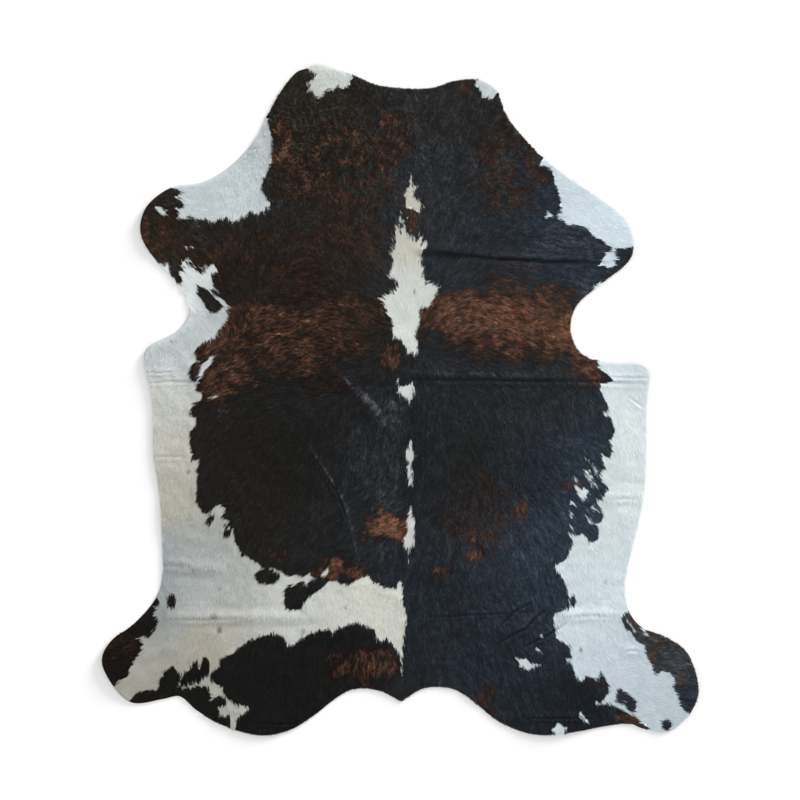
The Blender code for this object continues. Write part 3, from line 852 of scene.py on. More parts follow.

# %% [markdown]
# ## Rust, painted sheen, stains and tone
#
# The dark hair turns rust-brown in blots, mostly in a band over the shoulders. A few pressed lines and places
# near the spine get a painted sheen, a lighter grey colour that stands for the light they catch. The white has
# faint yellowed places and small grey flecks. Neither the white nor the dark has one tone all over: the left
# side is warmer and greyer and the right side cooler and brighter. This is partly the hair's own tone and
# partly
# painted light: the white is lighter on the right and darker on the left as painted light and shade, and the
# dark hair on the right is lighter and bluer as a painted reflection. So a few places carry a tone of their
# own, and between them the tones are mixed as the lay is.

# %% Rust-brown blots; a negative one keeps the hair dark
RUST_PATCHES = table(Blot, """
left shoulder band: -35.3 21.9 21.9 8.4 0.4
left band, by the edge: -55.6 20 7.5 6.9 0.36
left waist, brown: -50 8.8 5.3 5.6 0.46
left band, low: -31.9 11.6 9.4 4.4 0.39
left band, bright: -37.2 14.7 2.8 2.8 0.48
left band, upper: -46.9 27.5 7.5 3.8 0.34
under the left foreleg: -57.8 16.6 6.9 5 0.36
left brisket: -59.4 4.7 5.6 6.2 0.46
shoulder by the blaze: -13.1 26.9 10.6 5.6 0.33
below the blaze's shoulder: -21.9 16.2 14.1 3.4 0.28
left waist: -56.9 2.8 6.9 2.2 0.45
left neck: -35 77.2 4.7 5.3 0.48
left neck, rim: -36.6 85 2.2 6.2 0.38
neck, middle: -19.4 77.5 11.9 8.1 0.28
neck, patch on the left: -20.3 78.1 2.8 2.5 0.38
neck, low: -20.3 66.2 15.6 6.9 0.24
nape, top: -4.1 88.1 2.5 2.5 0.5
nape, right: 4.1 89.7 1.9 1.9 0.36
nape: -3.1 81.2 6.2 6.2 0.27
neck, patch: -12.8 81.2 2.2 1.6 0.5
neck, patch below: -10.6 75.6 2.5 1.9 0.42
neck, patch left: -24.4 69.4 2.8 2.2 0.42
nape, patch: -2.5 74.1 2.5 2.5 0.4
left ribs: -42.2 43.1 37.5 10 0.13
left ribs, brown: -28.1 35 15.6 3.8 0.17
left ribs, by the blaze: -17.2 50.6 11.9 9.4 0.17
left foreleg: -75.6 51.9 8.1 8.8 0.24
foot of the blaze: -2.2 13.1 2.5 3.8 0.36
streaks under the left band: -23.1 4.4 8.8 2.5 0.14
loin by the spine: -3.9 -40.3 6.6 3.8 1.2
loin, lower: -21.6 -51.9 4.4 3.4 0.62
loin, inner: -14.1 -53.8 3.8 2.5 0.45
loin, outer: -38.8 -48.4 3.4 1.9 0.25
left rump: -8.1 -82.8 6.2 4.7 0.58
left rump, outer: -17.2 -84.1 5.6 2.8 0.32
left toe: -86.9 -76.6 7.5 9.4 0.15
right shoulder band: 31.2 25.3 23.1 7.5 0.88
band by the blaze: 12.8 29.4 6.2 3.9 0.85
band, upper: 21.9 31.6 5.6 2.5 0.7
band by the armpit: 48.1 21.6 7.5 6.9 0.95
band, lower middle: 37.2 17.2 8.1 2.5 0.76
band, lower left: 21.9 18.4 5.3 2.2 0.55
band, lower end: 55.3 14.1 4.7 3.4 0.85
over the band: 34.4 34.4 5.6 3.1 0.3
over the armpit: 47.5 32.2 5.6 4.4 0.36
under the band: 31.2 14.4 18.8 2.8 0.17
right brisket: 59.1 9.4 5.3 4.1 0.66
right neck, outer: 43.8 69.4 3.1 2.5 0.38
right neck, faint: 33.8 73.4 11.2 14.4 0.15
right neck, lower: 35.9 62.8 3.4 2.8 0.26
right neck, inner: 28.1 76.9 3.8 5.3 0.26
right neck, upper: 39.1 78.8 1.9 2.2 0.17
right neck tip: 20.9 97.5 1.9 2.2 0.34
strip over the blaze: 3.4 56.2 1.7 3.4 0.42
right loin: 23.8 -48.4 3.1 1.9 0.62
right loin, inner: 12.5 -54.4 2.5 2.5 0.35
right ribs, low: 24.4 -41.9 5 2.8 0.3
right ribs, outer: 36.9 -35 1.9 1.6 0.3
right ribs, upper: 26.2 -24.1 1.2 1.2 0.26
right ribs, last: 53.1 -26.9 1.6 1.9 0.4
right hock: 75 -70 1.6 1.6 0.3
right toe: 81.2 -76.6 6.9 4.4 0.05
stripe on the right toe: 87.5 -87 2.2 0.9 0.37
fleck on the right toe: 78.8 -79.1 1.2 0.9 0.44
right hock, brown: 71.2 -68.1 1.6 1.6 0.42
right sole: 71.2 -99.7 4.7 2.5 0.38
right rump: 25 -94.7 4.7 4.4 0.22
right rump, outer: 61.9 -90.6 2.8 2.5 0.15
right shoulder, faint: 31.2 40.6 21.9 6.9 0.055
right ribs, faint: 25 -35.9 15 14.4 0.085
right back, faint: 40.6 0 18.8 9.4 0.03
dark notch in the band: 10 16.9 4.7 4.1 -0.85
""")

# %% Painted sheen and stains
Sheen = namedtuple("Sheen", "place line wide strength")
PAINTED_SHEEN_LINES = table(Sheen, """
shoulder to spine: 0.8 0.8 -23.1,11.9 -15.6,5 -8.8,-2.5
shoulder to spine, wide: 1.7 1 -14.4,4.1 -9.1,-0.9 -2.8,-9.4
ribs, upper: 0.5 0.56 -29.7,-12.5 -24.4,-20.3 -17.2,-31.9 -12.5,-51.6
right loin: 0.6 0.3 9.4,-43.8 9.1,-50
right loin, inner: 0.6 0.3 15.6,-43.8 15,-50.6
right waist: 0.9 0.32 0.6,9.1 15.6,8.4 41.2,7.8
right waist, end: 0.8 0.28 45.3,5.8 62.5,5.3
""")
PAINTED_SHEEN_PATCHES = table(Blot, """
by the spine, left: -4.4 -25 5 25 0.22
by the nape: -2.8 68.8 2.8 6.2 0.12
right neck: 34.7 75 2.8 5 0.5
by the spine, blue: -0.6 -3.4 1.6 4.1 0.5
fleck on the right shoulder: 45.9 49.1 1.6 0.9 0.9
right shoulder, outer: 54.4 50.6 9.4 4.7 0.45
fleck on the left ribs: -38.1 61.9 0.9 0.6 0.9
fleck on the left waist: -54.4 -3.4 0.9 0.6 0.9
left of the spine: -10.6 -18.8 6.9 10.6 0.15
left foreleg, grey: -62.8 54.1 1.9 0.9 0.6
left foreleg, grey below: -61.2 50 0.9 1.6 0.5
right armpit: 58.8 34.7 4.1 2.8 0.45
right neck, curl: 36.6 84.1 2.8 2.5 0.55
right toe: 90.3 -85 2.8 6.2 0.3
""")
STAINS = table(Blot, """
fleck: -65.9 -22.5 0.6 0.9 0.6
fleck: -64.4 -53.4 0.6 0.9 0.5
fleck: -55.9 -59.1 0.6 0.6 0.4
spot on the thigh: -58.1 -67.5 1.2 0.9 0.6
dark spot on the thigh: -56.6 -72.2 0.8 0.9 0.9
fleck by the band: -16.9 -64.7 0.6 0.6 0.5
fleck by the rump: -30.6 -72.5 0.9 0.9 0.5
fleck on the right thigh: 56.9 -78.1 0.6 0.5 0.8
fleck on the right groin: 64.1 -56.6 0.6 0.6 0.4
fleck on the brisket: -71.2 18.4 0.5 0.5 0.6
dot on the left foreleg: -73.9 42.5 0.8 0.8 1
slit in the blaze: 5 33.8 0.3 1.1 0.7
upper slit in the blaze: 1.6 43.1 0.2 1.9 0.4
flank, speck: -70 -30.3 0.6 0.5 0.35
flank, speck below: -67.8 -33.8 0.8 0.5 0.35
flank, smear: -66.2 -36.9 1.2 0.9 0.22
flank, smear below: -65.6 -39.4 1.2 0.6 0.25
""")

# %% Tones: warmth from 0, cool, to 1, warm, and light, where 1 is full white or the usual black; light is partly painted light and shade
Tone = namedtuple("Tone", "place across along warmth light")
# The white tones are lighter on the right and darker on the left partly as painted light and painted shade.
WHITE_TONES = table(Tone, """
left neck tip: -24.4 100 0.45 0.61
right neck tip: 26.9 96.3 0.2 0.71
left shoulder: -53.1 68.8 0.15 0.65
left shoulder, upper: -45.3 78.1 0.2 0.54
left armpit: -68.8 31.3 0.35 0.84
left brisket, upper: -59.4 21.9 0.25 0.58
left brisket: -73.4 15.6 0.2 0.555
left flank: -73.4 0 0.55 0.55
left flank, middle: -71.3 -15.6 0.75 0.505
left flank, low: -71.9 -31.3 0.9 0.415
left groin: -67.2 -50 0.4 0.42
left groin, edge: -74 -53.1 0 0.33
left thigh, edge: -74 -65.6 0.25 0.35
left thigh: -63 -62.5 0.38 0.485
left thigh, low: -62.5 -75 1 0.42
left shin: -78.1 -87.5 0.8 0.39
left rump band: -31.3 -65.6 0.5 0.58
left rump band, inner: -9.4 -62.5 0.65 0.64
blaze, top: 1.6 50 0.8 0.58
blaze, middle: 0 34.4 0.45 0.73
right shoulder: 56.3 65.6 0 0.78
right foreleg: 65.6 57.8 0 0.84
right flank, top: 71.9 9.4 0.1 0.81
right flank: 72.5 -6.3 0.25 0.83
right flank, middle: 71.3 -25 0.25 0.785
right flank, low: 62.5 -46.9 0.12 0.76
right thigh: 59.4 -62.5 0.05 0.755
right thigh, low: 68.8 -81.3 0 0.69
right shin: 78.1 -93.8 0 0.66
""")
# The high, cool lights of the dark hair on the right are partly a painted reflection.
DARK_TONES = table(Tone, """
left back: -37.5 -15.6 0.8 0.38
left ribs: -53.1 -31.3 0.9 0.5
left rump: -21.9 -78.1 0.7 0.26
left rump lobe: -40.6 -93.8 0.8 0.18
by the spine: -1.6 -18.8 0.2 0.66
right back: 21.9 -18.8 0.55 0.73
right waist: 37 4 0.5 1.12
right ribs: 43.8 -25 0 1.08
right ribs, rim: 61 -22 0 2.2
right groin: 56.5 -38 0 2.9
right groin, low: 48.5 -45 0 2.4
right thigh: 48 -60 0 1.9
right loin: 9.4 -62.5 0.1 1
right rump: 31.3 -81.3 0 1.1
right rump hem: 55 -98.5 0 0.55
right shoulder: 25 50 0.25 1.64
right shoulder, outer: 50 51.5 0 1.95
left neck: -28.1 87.5 1 1.05
right neck: 25 68.8 0.45 1.75
right neck, inner: 14 66 0.45 2
right neck, top: 22 88 0.68 1.5
left foreleg: -75 53.1 0.9 1.05
left toe: -87.5 -81.3 0.9 0.3
left shoulder: -46.9 40.6 0.9 0.72
left shoulder, outer: -60 51.5 0.85 1
right toe: 84.4 -82 0.5 3.3
right toe, low: 88 -93 0 1.9
left waist: -25 6 0.6 0.55
left band: -37 22 1 0.53
""")

# %% The tone and the sheen at any place
TONE_SOFTNESS = 0.06
TONE_FALL = 1.6  # the greater it is, the less do far tones count
RAGGED_PAINTED_SHEEN, RAGGED_RUST, RAGGED_STAIN = 0.01, 0.012, 0.002


def tones_of(points, tones):
    """The warmth and light at each point, mixed from the nearest tones."""
    mixed, total = np.zeros((len(points), 2)), np.zeros(len(points))
    for tone in tones:
        away = ((points - np.array((tone.across, tone.along)) * CM) ** 2).sum(axis=1)
        weight = 1 / (away + TONE_SOFTNESS**2) ** TONE_FALL
        mixed += weight[:, None] * (tone.warmth, tone.light)
        total += weight
    return (mixed / total[:, None]).T


def painted_sheen_at(points):
    """How much painted sheen each point gets, 0 to 1: a lighter colour for the light that the hair catches."""
    sheen = blotted(points, PAINTED_SHEEN_PATCHES, RAGGED_PAINTED_SHEEN)
    for streak in PAINTED_SHEEN_LINES:
        away, run = along_line(points, streak.line)
        sheen = np.maximum(sheen, streak.strength * faded(run, PAINTED_SHEEN_FADE) * bump(away / (streak.wide * CM)))
    return sheen


for tones in (WHITE_TONES, DARK_TONES):
    print("tone in the middle", tones_of(MIDDLE, tones)[:, 0].round(2))

# %% [markdown]
# ## Colour of the coat
#
# Hair shows as fine streaks that run the way it lies, so every colour here starts from one effect: a noise
# that is smeared along the lay. It is made by reading the same noise at several places up and down the hair
# and taking the mean. As a node group it serves the white, the dark and the brown coat, and the skin below
# them. The groups only put out colours and masks. Each material keeps its own shader.

# %% Small helpers for node trees
MIX_SHARE, MIX_ONE, MIX_OTHER, MIX_RESULT = 0, 6, 7, 2  # where a mixing node keeps its sockets for colours


def node_group(name, inputs, outputs):
    """An empty shader group with these sockets, its input node and its output node."""
    tree = bpy.data.node_groups.new(name, "ShaderNodeTree")
    for title, kind, start in inputs:
        socket = tree.interface.new_socket(title, in_out="INPUT", socket_type=kind)
        socket.default_value = start
    for title, kind in outputs:
        tree.interface.new_socket(title, in_out="OUTPUT", socket_type=kind)
    return tree, tree.nodes.new("NodeGroupInput").outputs, tree.nodes.new("NodeGroupOutput").inputs


def figure(tree, operation, *values):
    """A number worked out from others."""
    return value_of(tree, "ShaderNodeMath", {"operation": operation}, dict(enumerate(values)))


def spread(tree, value, low, high, new_low, new_high):
    """value, stretched from one range to another and kept inside it."""
    sockets = {"Value": value, "From Min": low, "From Max": high, "To Min": new_low, "To Max": new_high}
    return value_of(tree, "ShaderNodeMapRange", {"clamp": True}, sockets)


def mixed(tree, share, one, other):
    """One colour mixed into the other by share."""
    sockets = {MIX_SHARE: share, MIX_ONE: one, MIX_OTHER: other}
    return put(tree, "ShaderNodeMix", {"data_type": "RGBA"}, sockets).outputs[MIX_RESULT]


def dimmed(tree, colour, value):
    """A colour made darker or lighter by a number."""
    return value_of(tree, "ShaderNodeVectorMath", {"operation": "SCALE"}, {0: colour, "Scale": value})


print("node helpers", [helper.__name__ for helper in (node_group, figure, spread, mixed, dimmed)])

# %% The streaks of lying hair, as a node group
STREAK_SAMPLES = 6
STREAK_RANGE = (0.38, 0.62)  # the mean of so many readings stays near a half

streaks, given, wanted = node_group(
    "Hair streaks",
    [
        ("Position", "NodeSocketVector", (0.0, 0.0, 0.0)),
        ("Lay", "NodeSocketVector", (0.0, -1.0, 0.0)),
        ("Width", "NodeSocketFloat", 0.003),
        ("Step", "NodeSocketFloat", 0.004),
    ],
    [("Streak", "NodeSocketFloat")],
)
fineness = figure(streaks, "DIVIDE", 1.0, given["Width"])
total = None
for sample in range(STREAK_SAMPLES):
    shift = figure(streaks, "MULTIPLY", given["Step"], sample - (STREAK_SAMPLES - 1) / 2)
    moved = value_of(streaks, "ShaderNodeVectorMath", {"operation": "MULTIPLY_ADD"}, {
        0: given["Lay"],
        1: value_of(streaks, "ShaderNodeCombineXYZ", None, {0: shift, 1: shift, 2: 0.0}),
        2: given["Position"],
    })
    noise = value_of(streaks, "ShaderNodeTexNoise", {"noise_dimensions": "2D"}, {
        "Vector": moved, "Scale": fineness, "Detail": 1.0, "Roughness": 0.5,
    })
    total = noise if total is None else figure(streaks, "ADD", total, noise)
mean = figure(streaks, "DIVIDE", total, float(STREAK_SAMPLES))
streaks.links.new(spread(streaks, mean, *STREAK_RANGE, 0.0, 1.0), wanted["Streak"])
print("streaks group", len(streaks.nodes), "nodes")


# %% Streaks on a coat
def streaked(tree, place, lay, width, step):
    """Streaks of this width in a tree."""
    node = put(tree, "ShaderNodeGroup", {"node_tree": streaks}, {
        "Position": place, "Lay": lay, "Width": width, "Step": step,
    })
    return node.outputs["Streak"]


Streaks = namedtuple("Streaks", "width step strength")
COAT_INPUTS = [
    ("Position", "NodeSocketVector", (0.0, 0.0, 0.0)),
    ("Lay", "NodeSocketVector", (0.0, -1.0, 0.0)),
    ("Warmth", "NodeSocketFloat", 0.5),
    ("Light", "NodeSocketFloat", 0.6),
    ("Accent", "NodeSocketFloat", 0.0),
    # this input multiplies the colour by random grain and by painted shade and highlights
    ("Shade", "NodeSocketFloat", 1.0),
]


def shaded(tree, given, colour, *layers):
    """A colour times the grain and painted light that it is given, with layers of streaks that make it darker
    and lighter.
    """
    light = given["Shade"]
    for width, step, strength in layers:
        streak = streaked(tree, given["Position"], given["Lay"], width, step)
        light = figure(tree, "MULTIPLY", light, spread(tree, streak, 0.0, 1.0, 1 - strength, 1 + strength))
    return dimmed(tree, colour, light)


def coat_group(name):
    """An empty group for the colour of a coat, its inputs and its output."""
    return node_group(name, COAT_INPUTS, [("Colour", "NodeSocketColor")])


print("a coat's colour starts from", [title for title, _, _ in COAT_INPUTS])

# %% White hair
WARM_WHITE, COOL_WHITE = (1.06, 1.0, 0.82, 1.0), (0.865, 0.985, 1.06, 1.0)
STAIN = (0.17, 0.145, 0.11, 1.0)
WHITE_STREAKS = (Streaks(0.0028, 0.004, 0.02), Streaks(0.020, 0.016, 0.02))

white_coat, given, wanted = coat_group("White hair colour")
colour = dimmed(white_coat, mixed(white_coat, given["Warmth"], COOL_WHITE, WARM_WHITE), given["Light"])
colour = shaded(white_coat, given, colour, *WHITE_STREAKS)
white_coat.links.new(mixed(white_coat, given["Accent"], colour, STAIN), wanted["Colour"])
print("white group", len(white_coat.nodes), "nodes")

# %% Nearly black hair
WARM_BLACK, COOL_BLACK = (0.0188, 0.0158, 0.0108, 1.0), (0.0112, 0.0168, 0.0250, 1.0)
PAINTED_SHEEN_COLOUR = (0.062, 0.067, 0.078, 1.0)
DARK_STREAKS = (Streaks(0.0030, 0.004, 0.35), Streaks(0.011, 0.010, 0.25))

dark_coat, given, wanted = coat_group("Dark hair colour")
colour = dimmed(dark_coat, mixed(dark_coat, given["Warmth"], COOL_BLACK, WARM_BLACK), given["Light"])
# the accent mixes in the painted sheen, a lighter grey that stands for light reflected off the hair
colour = mixed(dark_coat, given["Accent"], colour, PAINTED_SHEEN_COLOUR)
dark_coat.links.new(shaded(dark_coat, given, colour, *DARK_STREAKS), wanted["Colour"])
print("dark group", len(dark_coat.nodes), "nodes")

# %% Rust-brown hair: the dark colour of its place, turned rusty by as much as the accent says
RUST = (0.142, 0.0665, 0.041, 1.0)
BROWN_BLACK = (0.0235, 0.0122, 0.0072, 1.0)
BROWN_SHARE = 0.75  # of the dark hair under the rust
RUST_RANGE = (0.12, 1.12)  # the accent from where the rust begins to show to where it is full
BROWN_STREAKS = (Streaks(0.0030, 0.004, 0.25), Streaks(0.012, 0.010, 0.15))

brown_coat, given, wanted = coat_group("Brown hair colour")
colour = mixed(brown_coat, given["Warmth"], COOL_BLACK, WARM_BLACK)
colour = dimmed(brown_coat, mixed(brown_coat, BROWN_SHARE, colour, BROWN_BLACK), given["Light"])
colour = mixed(brown_coat, spread(brown_coat, given["Accent"], *RUST_RANGE, 0.0, 1.0), colour, RUST)
brown_coat.links.new(shaded(brown_coat, given, colour, *BROWN_STREAKS), wanted["Colour"])
print("brown group", len(brown_coat.nodes), "nodes")

# %% [markdown]
# ## Materials
#
# A coat's shader is rough and shines little: lying hair is a heap of fine fibres, and only its tips glance.
# Roots are darker than tips, because less light reaches them. The dark and the brown coat need the lowest
# shine, or the even light would wash them out to grey.

# %% One material for each coat
ROOT_PART = 0.7  # how far along a tuft its root's shadow reaches
FINE_STREAKS = (0.003, 0.004)  # width and step


def read(tree, name, kind="Fac"):
    """A number or vector that is stored on the mesh."""
    return put(tree, "ShaderNodeAttribute", {"attribute_name": name}).outputs[kind]


def placed(tree):
    """The place on the hide, in metres."""
    return put(tree, "ShaderNodeTexCoord").outputs["Object"]


def coat_colour(tree, place, lay, group, accent, **more):
    """The colour that one of the groups gives, at the tone of each place."""
    sockets = {"Position": place, "Lay": lay, "Accent": read(tree, accent), **more}
    for title in ("Warmth", "Light"):
        sockets[title] = read(tree, title.lower())
    return put(tree, "ShaderNodeGroup", {"node_tree": group}, sockets).outputs["Colour"]


def coat_material(name, group, accent, root, shine, rough_low, rough_high):
    """Hair coloured by one of the groups. root is how dark the painted shade at the roots makes them, and shine
    the specular level.
    """
    material, tree, shader = paint(name, shine=shine)
    lay, place = read(tree, "lay", "Vector"), placed(tree)
    colour = coat_colour(tree, place, lay, group, accent, Shade=read(tree, "grain_and_painted_light"))
    # painted shade at the roots: each tuft darker towards its root
    colour = dimmed(tree, colour, spread(tree, read(tree, "ahead"), 0.0, ROOT_PART, root, 1.0))
    tree.links.new(colour, shader.inputs["Base Color"])
    roughness = spread(tree, streaked(tree, place, lay, *FINE_STREAKS), 0.0, 1.0, rough_high, rough_low)
    tree.links.new(roughness, shader.inputs["Roughness"])
    return material


white_hair = coat_material(
    "white hair", white_coat, "stain", root=0.93, shine=0.20, rough_low=0.52, rough_high=0.62,
)
dark_hair = coat_material(
    "nearly black hair", dark_coat, "sheen", root=0.60, shine=0.12, rough_low=0.42, rough_high=0.58,
)
brown_hair = coat_material(
    "rust-brown hair", brown_coat, "rust", root=0.60, shine=0.06, rough_low=0.46, rough_high=0.60,
)
print("coats", [material.name for material in (white_hair, dark_hair, brown_hair)])

# %% The skin under the hair
SKIN_ROUGH, SKIN_SHINE = 0.7, 0.12
DARK_GROUND, WHITE_GROUND = 0.55, 0.90  # how much of the hair's colour the skin under it keeps; the rest is painted shade under the hair
BORDER_SOFTNESS = 0.001

skin_top, tree, shader = paint("skin under the hair", SKIN_ROUGH, SKIN_SHINE)
lay, place = read(tree, "lay", "Vector"), placed(tree)
grounds = [
    dimmed(tree, coat_colour(tree, place, lay, dark_coat, "sheen"), DARK_GROUND),
    dimmed(tree, coat_colour(tree, place, lay, white_coat, "stain"), WHITE_GROUND),
]
in_white = spread(tree, read(tree, "white"), -BORDER_SOFTNESS, BORDER_SOFTNESS, 0.0, 1.0)
tree.links.new(mixed(tree, in_white, *grounds), shader.inputs["Base Color"])
print("skin", len(tree.nodes), "nodes")

# %% The suede below
SUEDE_ROUGH, SUEDE_SHINE = 0.95, 0.15
SUEDE_DARK, SUEDE_PALE = (0.47, 0.41, 0.34, 1.0), (0.56, 0.51, 0.45, 1.0)
Noise = namedtuple("Noise", "scale detail distortion")  # scale is how many to a metre
NAP, CLOUD, VEIN = Noise(900.0, 3.0, 0.0), Noise(7.0, 4.0, 0.0), Noise(38.0, 5.0, 1.4)
CLOUD_RANGE = (0.35, 0.65)
VEIN_RANGE, VEIN_LIGHT = (0.40, 0.62), (0.86, 1.04)
NAP_RANGE, NAP_LIGHT = (0.3, 0.7), (0.90, 1.08)
NAP_RELIEF, NAP_HEIGHT = 0.5, 0.0006


def noisy(tree, noise):
    """A cloudy number over the hide."""
    sockets = {title.capitalize(): value for title, value in noise._asdict().items()}
    return value_of(tree, "ShaderNodeTexNoise", None, {"Vector": placed(tree), **sockets})


suede, tree, shader = paint("suede flesh side", SUEDE_ROUGH, SUEDE_SHINE)
nap = noisy(tree, NAP)
colour = mixed(tree, spread(tree, noisy(tree, CLOUD), *CLOUD_RANGE, 0.0, 1.0), SUEDE_DARK, SUEDE_PALE)
colour = dimmed(tree, colour, spread(tree, noisy(tree, VEIN), *VEIN_RANGE, *VEIN_LIGHT))
colour = dimmed(tree, colour, spread(tree, nap, *NAP_RANGE, *NAP_LIGHT))
tree.links.new(colour, shader.inputs["Base Color"])
relief = {"Height": nap, "Strength": NAP_RELIEF, "Distance": NAP_HEIGHT}
raised = value_of(tree, "ShaderNodeBump", None, relief)
tree.links.new(raised, shader.inputs["Normal"])
print("suede", len(tree.nodes), "nodes")

# %% The cut through the leather
CUT_ROUGH = 0.85
CUT_DARK, CUT_PALE = (0.34, 0.29, 0.24, 1.0), (0.50, 0.45, 0.39, 1.0)
FIBRE, FIBRE_RANGE = Noise(1400.0, 2.0, 0.0), (0.3, 0.7)

cut_leather, tree, shader = paint("cut leather", CUT_ROUGH)
colour = mixed(tree, spread(tree, noisy(tree, FIBRE), *FIBRE_RANGE, 0.0, 1.0), CUT_DARK, CUT_PALE)
tree.links.new(colour, shader.inputs["Base Color"])
print("materials", [m.name for m in bpy.data.materials])

# %% [markdown]
# ## The skin
#
# The leather is one closed sheet, a little over two millimetres thick. Its top has a corner every centimetre
# so that it can follow the creases, and its underside is coarser, as nobody sees it. Both are filled with
# Delaunay triangles inside the cut edge. Four rings of corners, one above the other, lead round the edge.

# %% Rings round the edge
RINGS = (  # how far in from the cut edge, and how high as a share of the leather's thickness
    ("top", 0.0010, 1.00),
    ("upper", 0.0002, 0.72),
    ("lower", 0.0000, 0.25),
    ("under", 0.0006, 0.00),
)


def inset(loop, depth):
    """The loop's corners moved inwards by depth."""
    along = np.roll(loop, -1, axis=0) - np.roll(loop, 1, axis=0)
    inwards = np.stack((-along[:, 1], along[:, 0]), axis=1) / np.linalg.norm(along, axis=1)[:, None]
    return loop + inwards * depth


ring_places = [inset(cut_edge, depth) for _, depth, _ in RINGS]
print("rings", [name for name, _, _ in RINGS])

# %% Staggered points inside, and triangles between them
TOP_GRID = 0.0100
UNDER_GRID = 0.028
CLEAR_OF_EDGE = 0.45  # how far from the edge the first points are, as a share of the grid
SAME_PLACE = 1e-7
KEEP_INSIDE = 1  # tells the triangulation to fill only the inside of the loop


def rows_within(loop, gap):
    """Staggered rows of points inside the loop, found row by row from where its sides cross them."""
    rows = []
    start, end = loop, np.roll(loop, -1, axis=0)
    for row, y in enumerate(np.arange(loop[:, 1].min(), loop[:, 1].max(), gap * math.sqrt(3) / 2)):
        crossed = (start[:, 1] > y) != (end[:, 1] > y)
        one, other = start[crossed], end[crossed]
        edges = np.sort(one[:, 0] + (other[:, 0] - one[:, 0]) * (y - one[:, 1]) / (other[:, 1] - one[:, 1]))
        shift = 0.5 * gap * (row % 2)
        for low, high in zip(edges[::2], edges[1::2]):
            x = np.arange(math.ceil((low - shift) / gap), math.floor((high - shift) / gap) + 1) * gap + shift
            rows.append(np.stack((x, np.full(len(x), y)), axis=1))
    return np.vstack(rows)


def filled(loop, gap):
    """Corners and triangles that fill the loop, the loop's own corners first."""
    inner = rows_within(inset(loop, CLEAR_OF_EDGE * gap), gap)
    corners = [Vector(point) for point in np.vstack((loop, inner))]
    sides = [(i, (i + 1) % len(loop)) for i in range(len(loop))]
    made, _, faces, *_ = delaunay_2d_cdt(corners, sides, [], KEEP_INSIDE, SAME_PLACE)
    return np.array([(corner.x, corner.y) for corner in made]), faces


top_flat, top_faces = filled(ring_places[0], TOP_GRID)
under_flat, under_faces = filled(ring_places[-1], UNDER_GRID)
print("top", len(top_faces), "triangles, underside", len(under_faces))

# %% Join them into one closed sheet
HAIR_SIDE, FLESH_SIDE, RIM = 0, 1, 2  # the order of the skin's materials

rim_count = len(cut_edge)
places = [np.column_stack((top_flat, top_height(top_flat)))]
for flat, (_, _, share) in list(zip(ring_places, RINGS))[1:-1]:
    low, high = under_height(flat), top_height(flat)
    places.append(np.column_stack((flat, low + (high - low) * share)))
places.append(np.column_stack((under_flat, under_height(under_flat))))
starts = np.concatenate(([0], np.cumsum([len(part) for part in places])))[:-1]
faces, kinds = [tuple(face) for face in top_faces], [HAIR_SIDE] * len(top_faces)
for upper, lower in zip(starts, starts[1:]):
    for i in range(rim_count):
        j = (i + 1) % rim_count
        faces.append((int(upper + i), int(lower + i), int(lower + j), int(upper + j)))
        kinds.append(RIM)
faces += [tuple(int(starts[-1]) + corner for corner in reversed(face)) for face in under_faces]
kinds += [FLESH_SIDE] * len(under_faces)
print("skin", len(faces), "faces")

# %% Make it a mesh
skin_mesh = bpy.data.meshes.new("hide_skin")
skin_mesh.from_pydata(np.vstack(places).tolist(), [], faces)
for material in (skin_top, suede, cut_leather):
    skin_mesh.materials.append(material)
skin_mesh.polygons.foreach_set("material_index", kinds)
skin_mesh.polygons.foreach_set("use_smooth", [True] * len(faces))
skin_mesh.update()
skin = add("hide_skin", skin_mesh)


# %% Store the markings on a mesh or on loose points
def store(mesh, name, values):
    """Keeps a number or a vector for each corner of a mesh, for its materials and node trees to read."""
    flat = np.asarray(values, dtype=np.float32)
    kind = "FLOAT_VECTOR" if flat.ndim == 2 else "FLOAT"
    layer = mesh.attributes.new(name, kind, "POINT")
    layer.data.foreach_set("vector" if flat.ndim == 2 else "value", flat.ravel())


def with_height(flat, height=0.0):
    """Flat vectors with a third number."""
    return np.column_stack((flat, np.broadcast_to(height, len(flat))))


corner_places = np.vstack(places)[:, :2]
reach = white_reach(corner_places)
tone_white, tone_dark = tones_of(corner_places, WHITE_TONES), tones_of(corner_places, DARK_TONES)
is_white = reach > 0
# the skin's light is darkened by the painted shade in the crease troughs
painted_crease_shade = 1 - pressed(corner_places)[1]
store(skin_mesh, "white", reach)
store(skin_mesh, "lay", with_height(lay_of_hair(corner_places)))
store(skin_mesh, "warmth", np.where(is_white, tone_white[0], tone_dark[0]))
store(skin_mesh, "light", np.where(is_white, tone_white[1], tone_dark[1]) * painted_crease_shade)
store(skin_mesh, "sheen", painted_sheen_at(corner_places))
store(skin_mesh, "stain", blotted(corner_places, STAINS, RAGGED_STAIN))
print("skin markings", [layer.name for layer in skin_mesh.attributes if layer.domain == "POINT"])

# %% A map of the sheet for its textures: the hair side left, the flesh side right, the rim below
RIM_STRIP = 0.03
GUTTER = 0.01


def corner_numbers(mesh):
    """Which vertex each face corner of a mesh stands on."""
    corner = np.empty(len(mesh.loops), dtype=np.int32)
    mesh.loops.foreach_get("vertex_index", corner)
    return corner


def set_map(mesh, uv):
    """Gives a mesh a flat map for textures, one place for each face corner."""
    mesh.uv_layers.new(name="OFBake").uv.foreach_set("vector", uv.astype(np.float32).ravel())


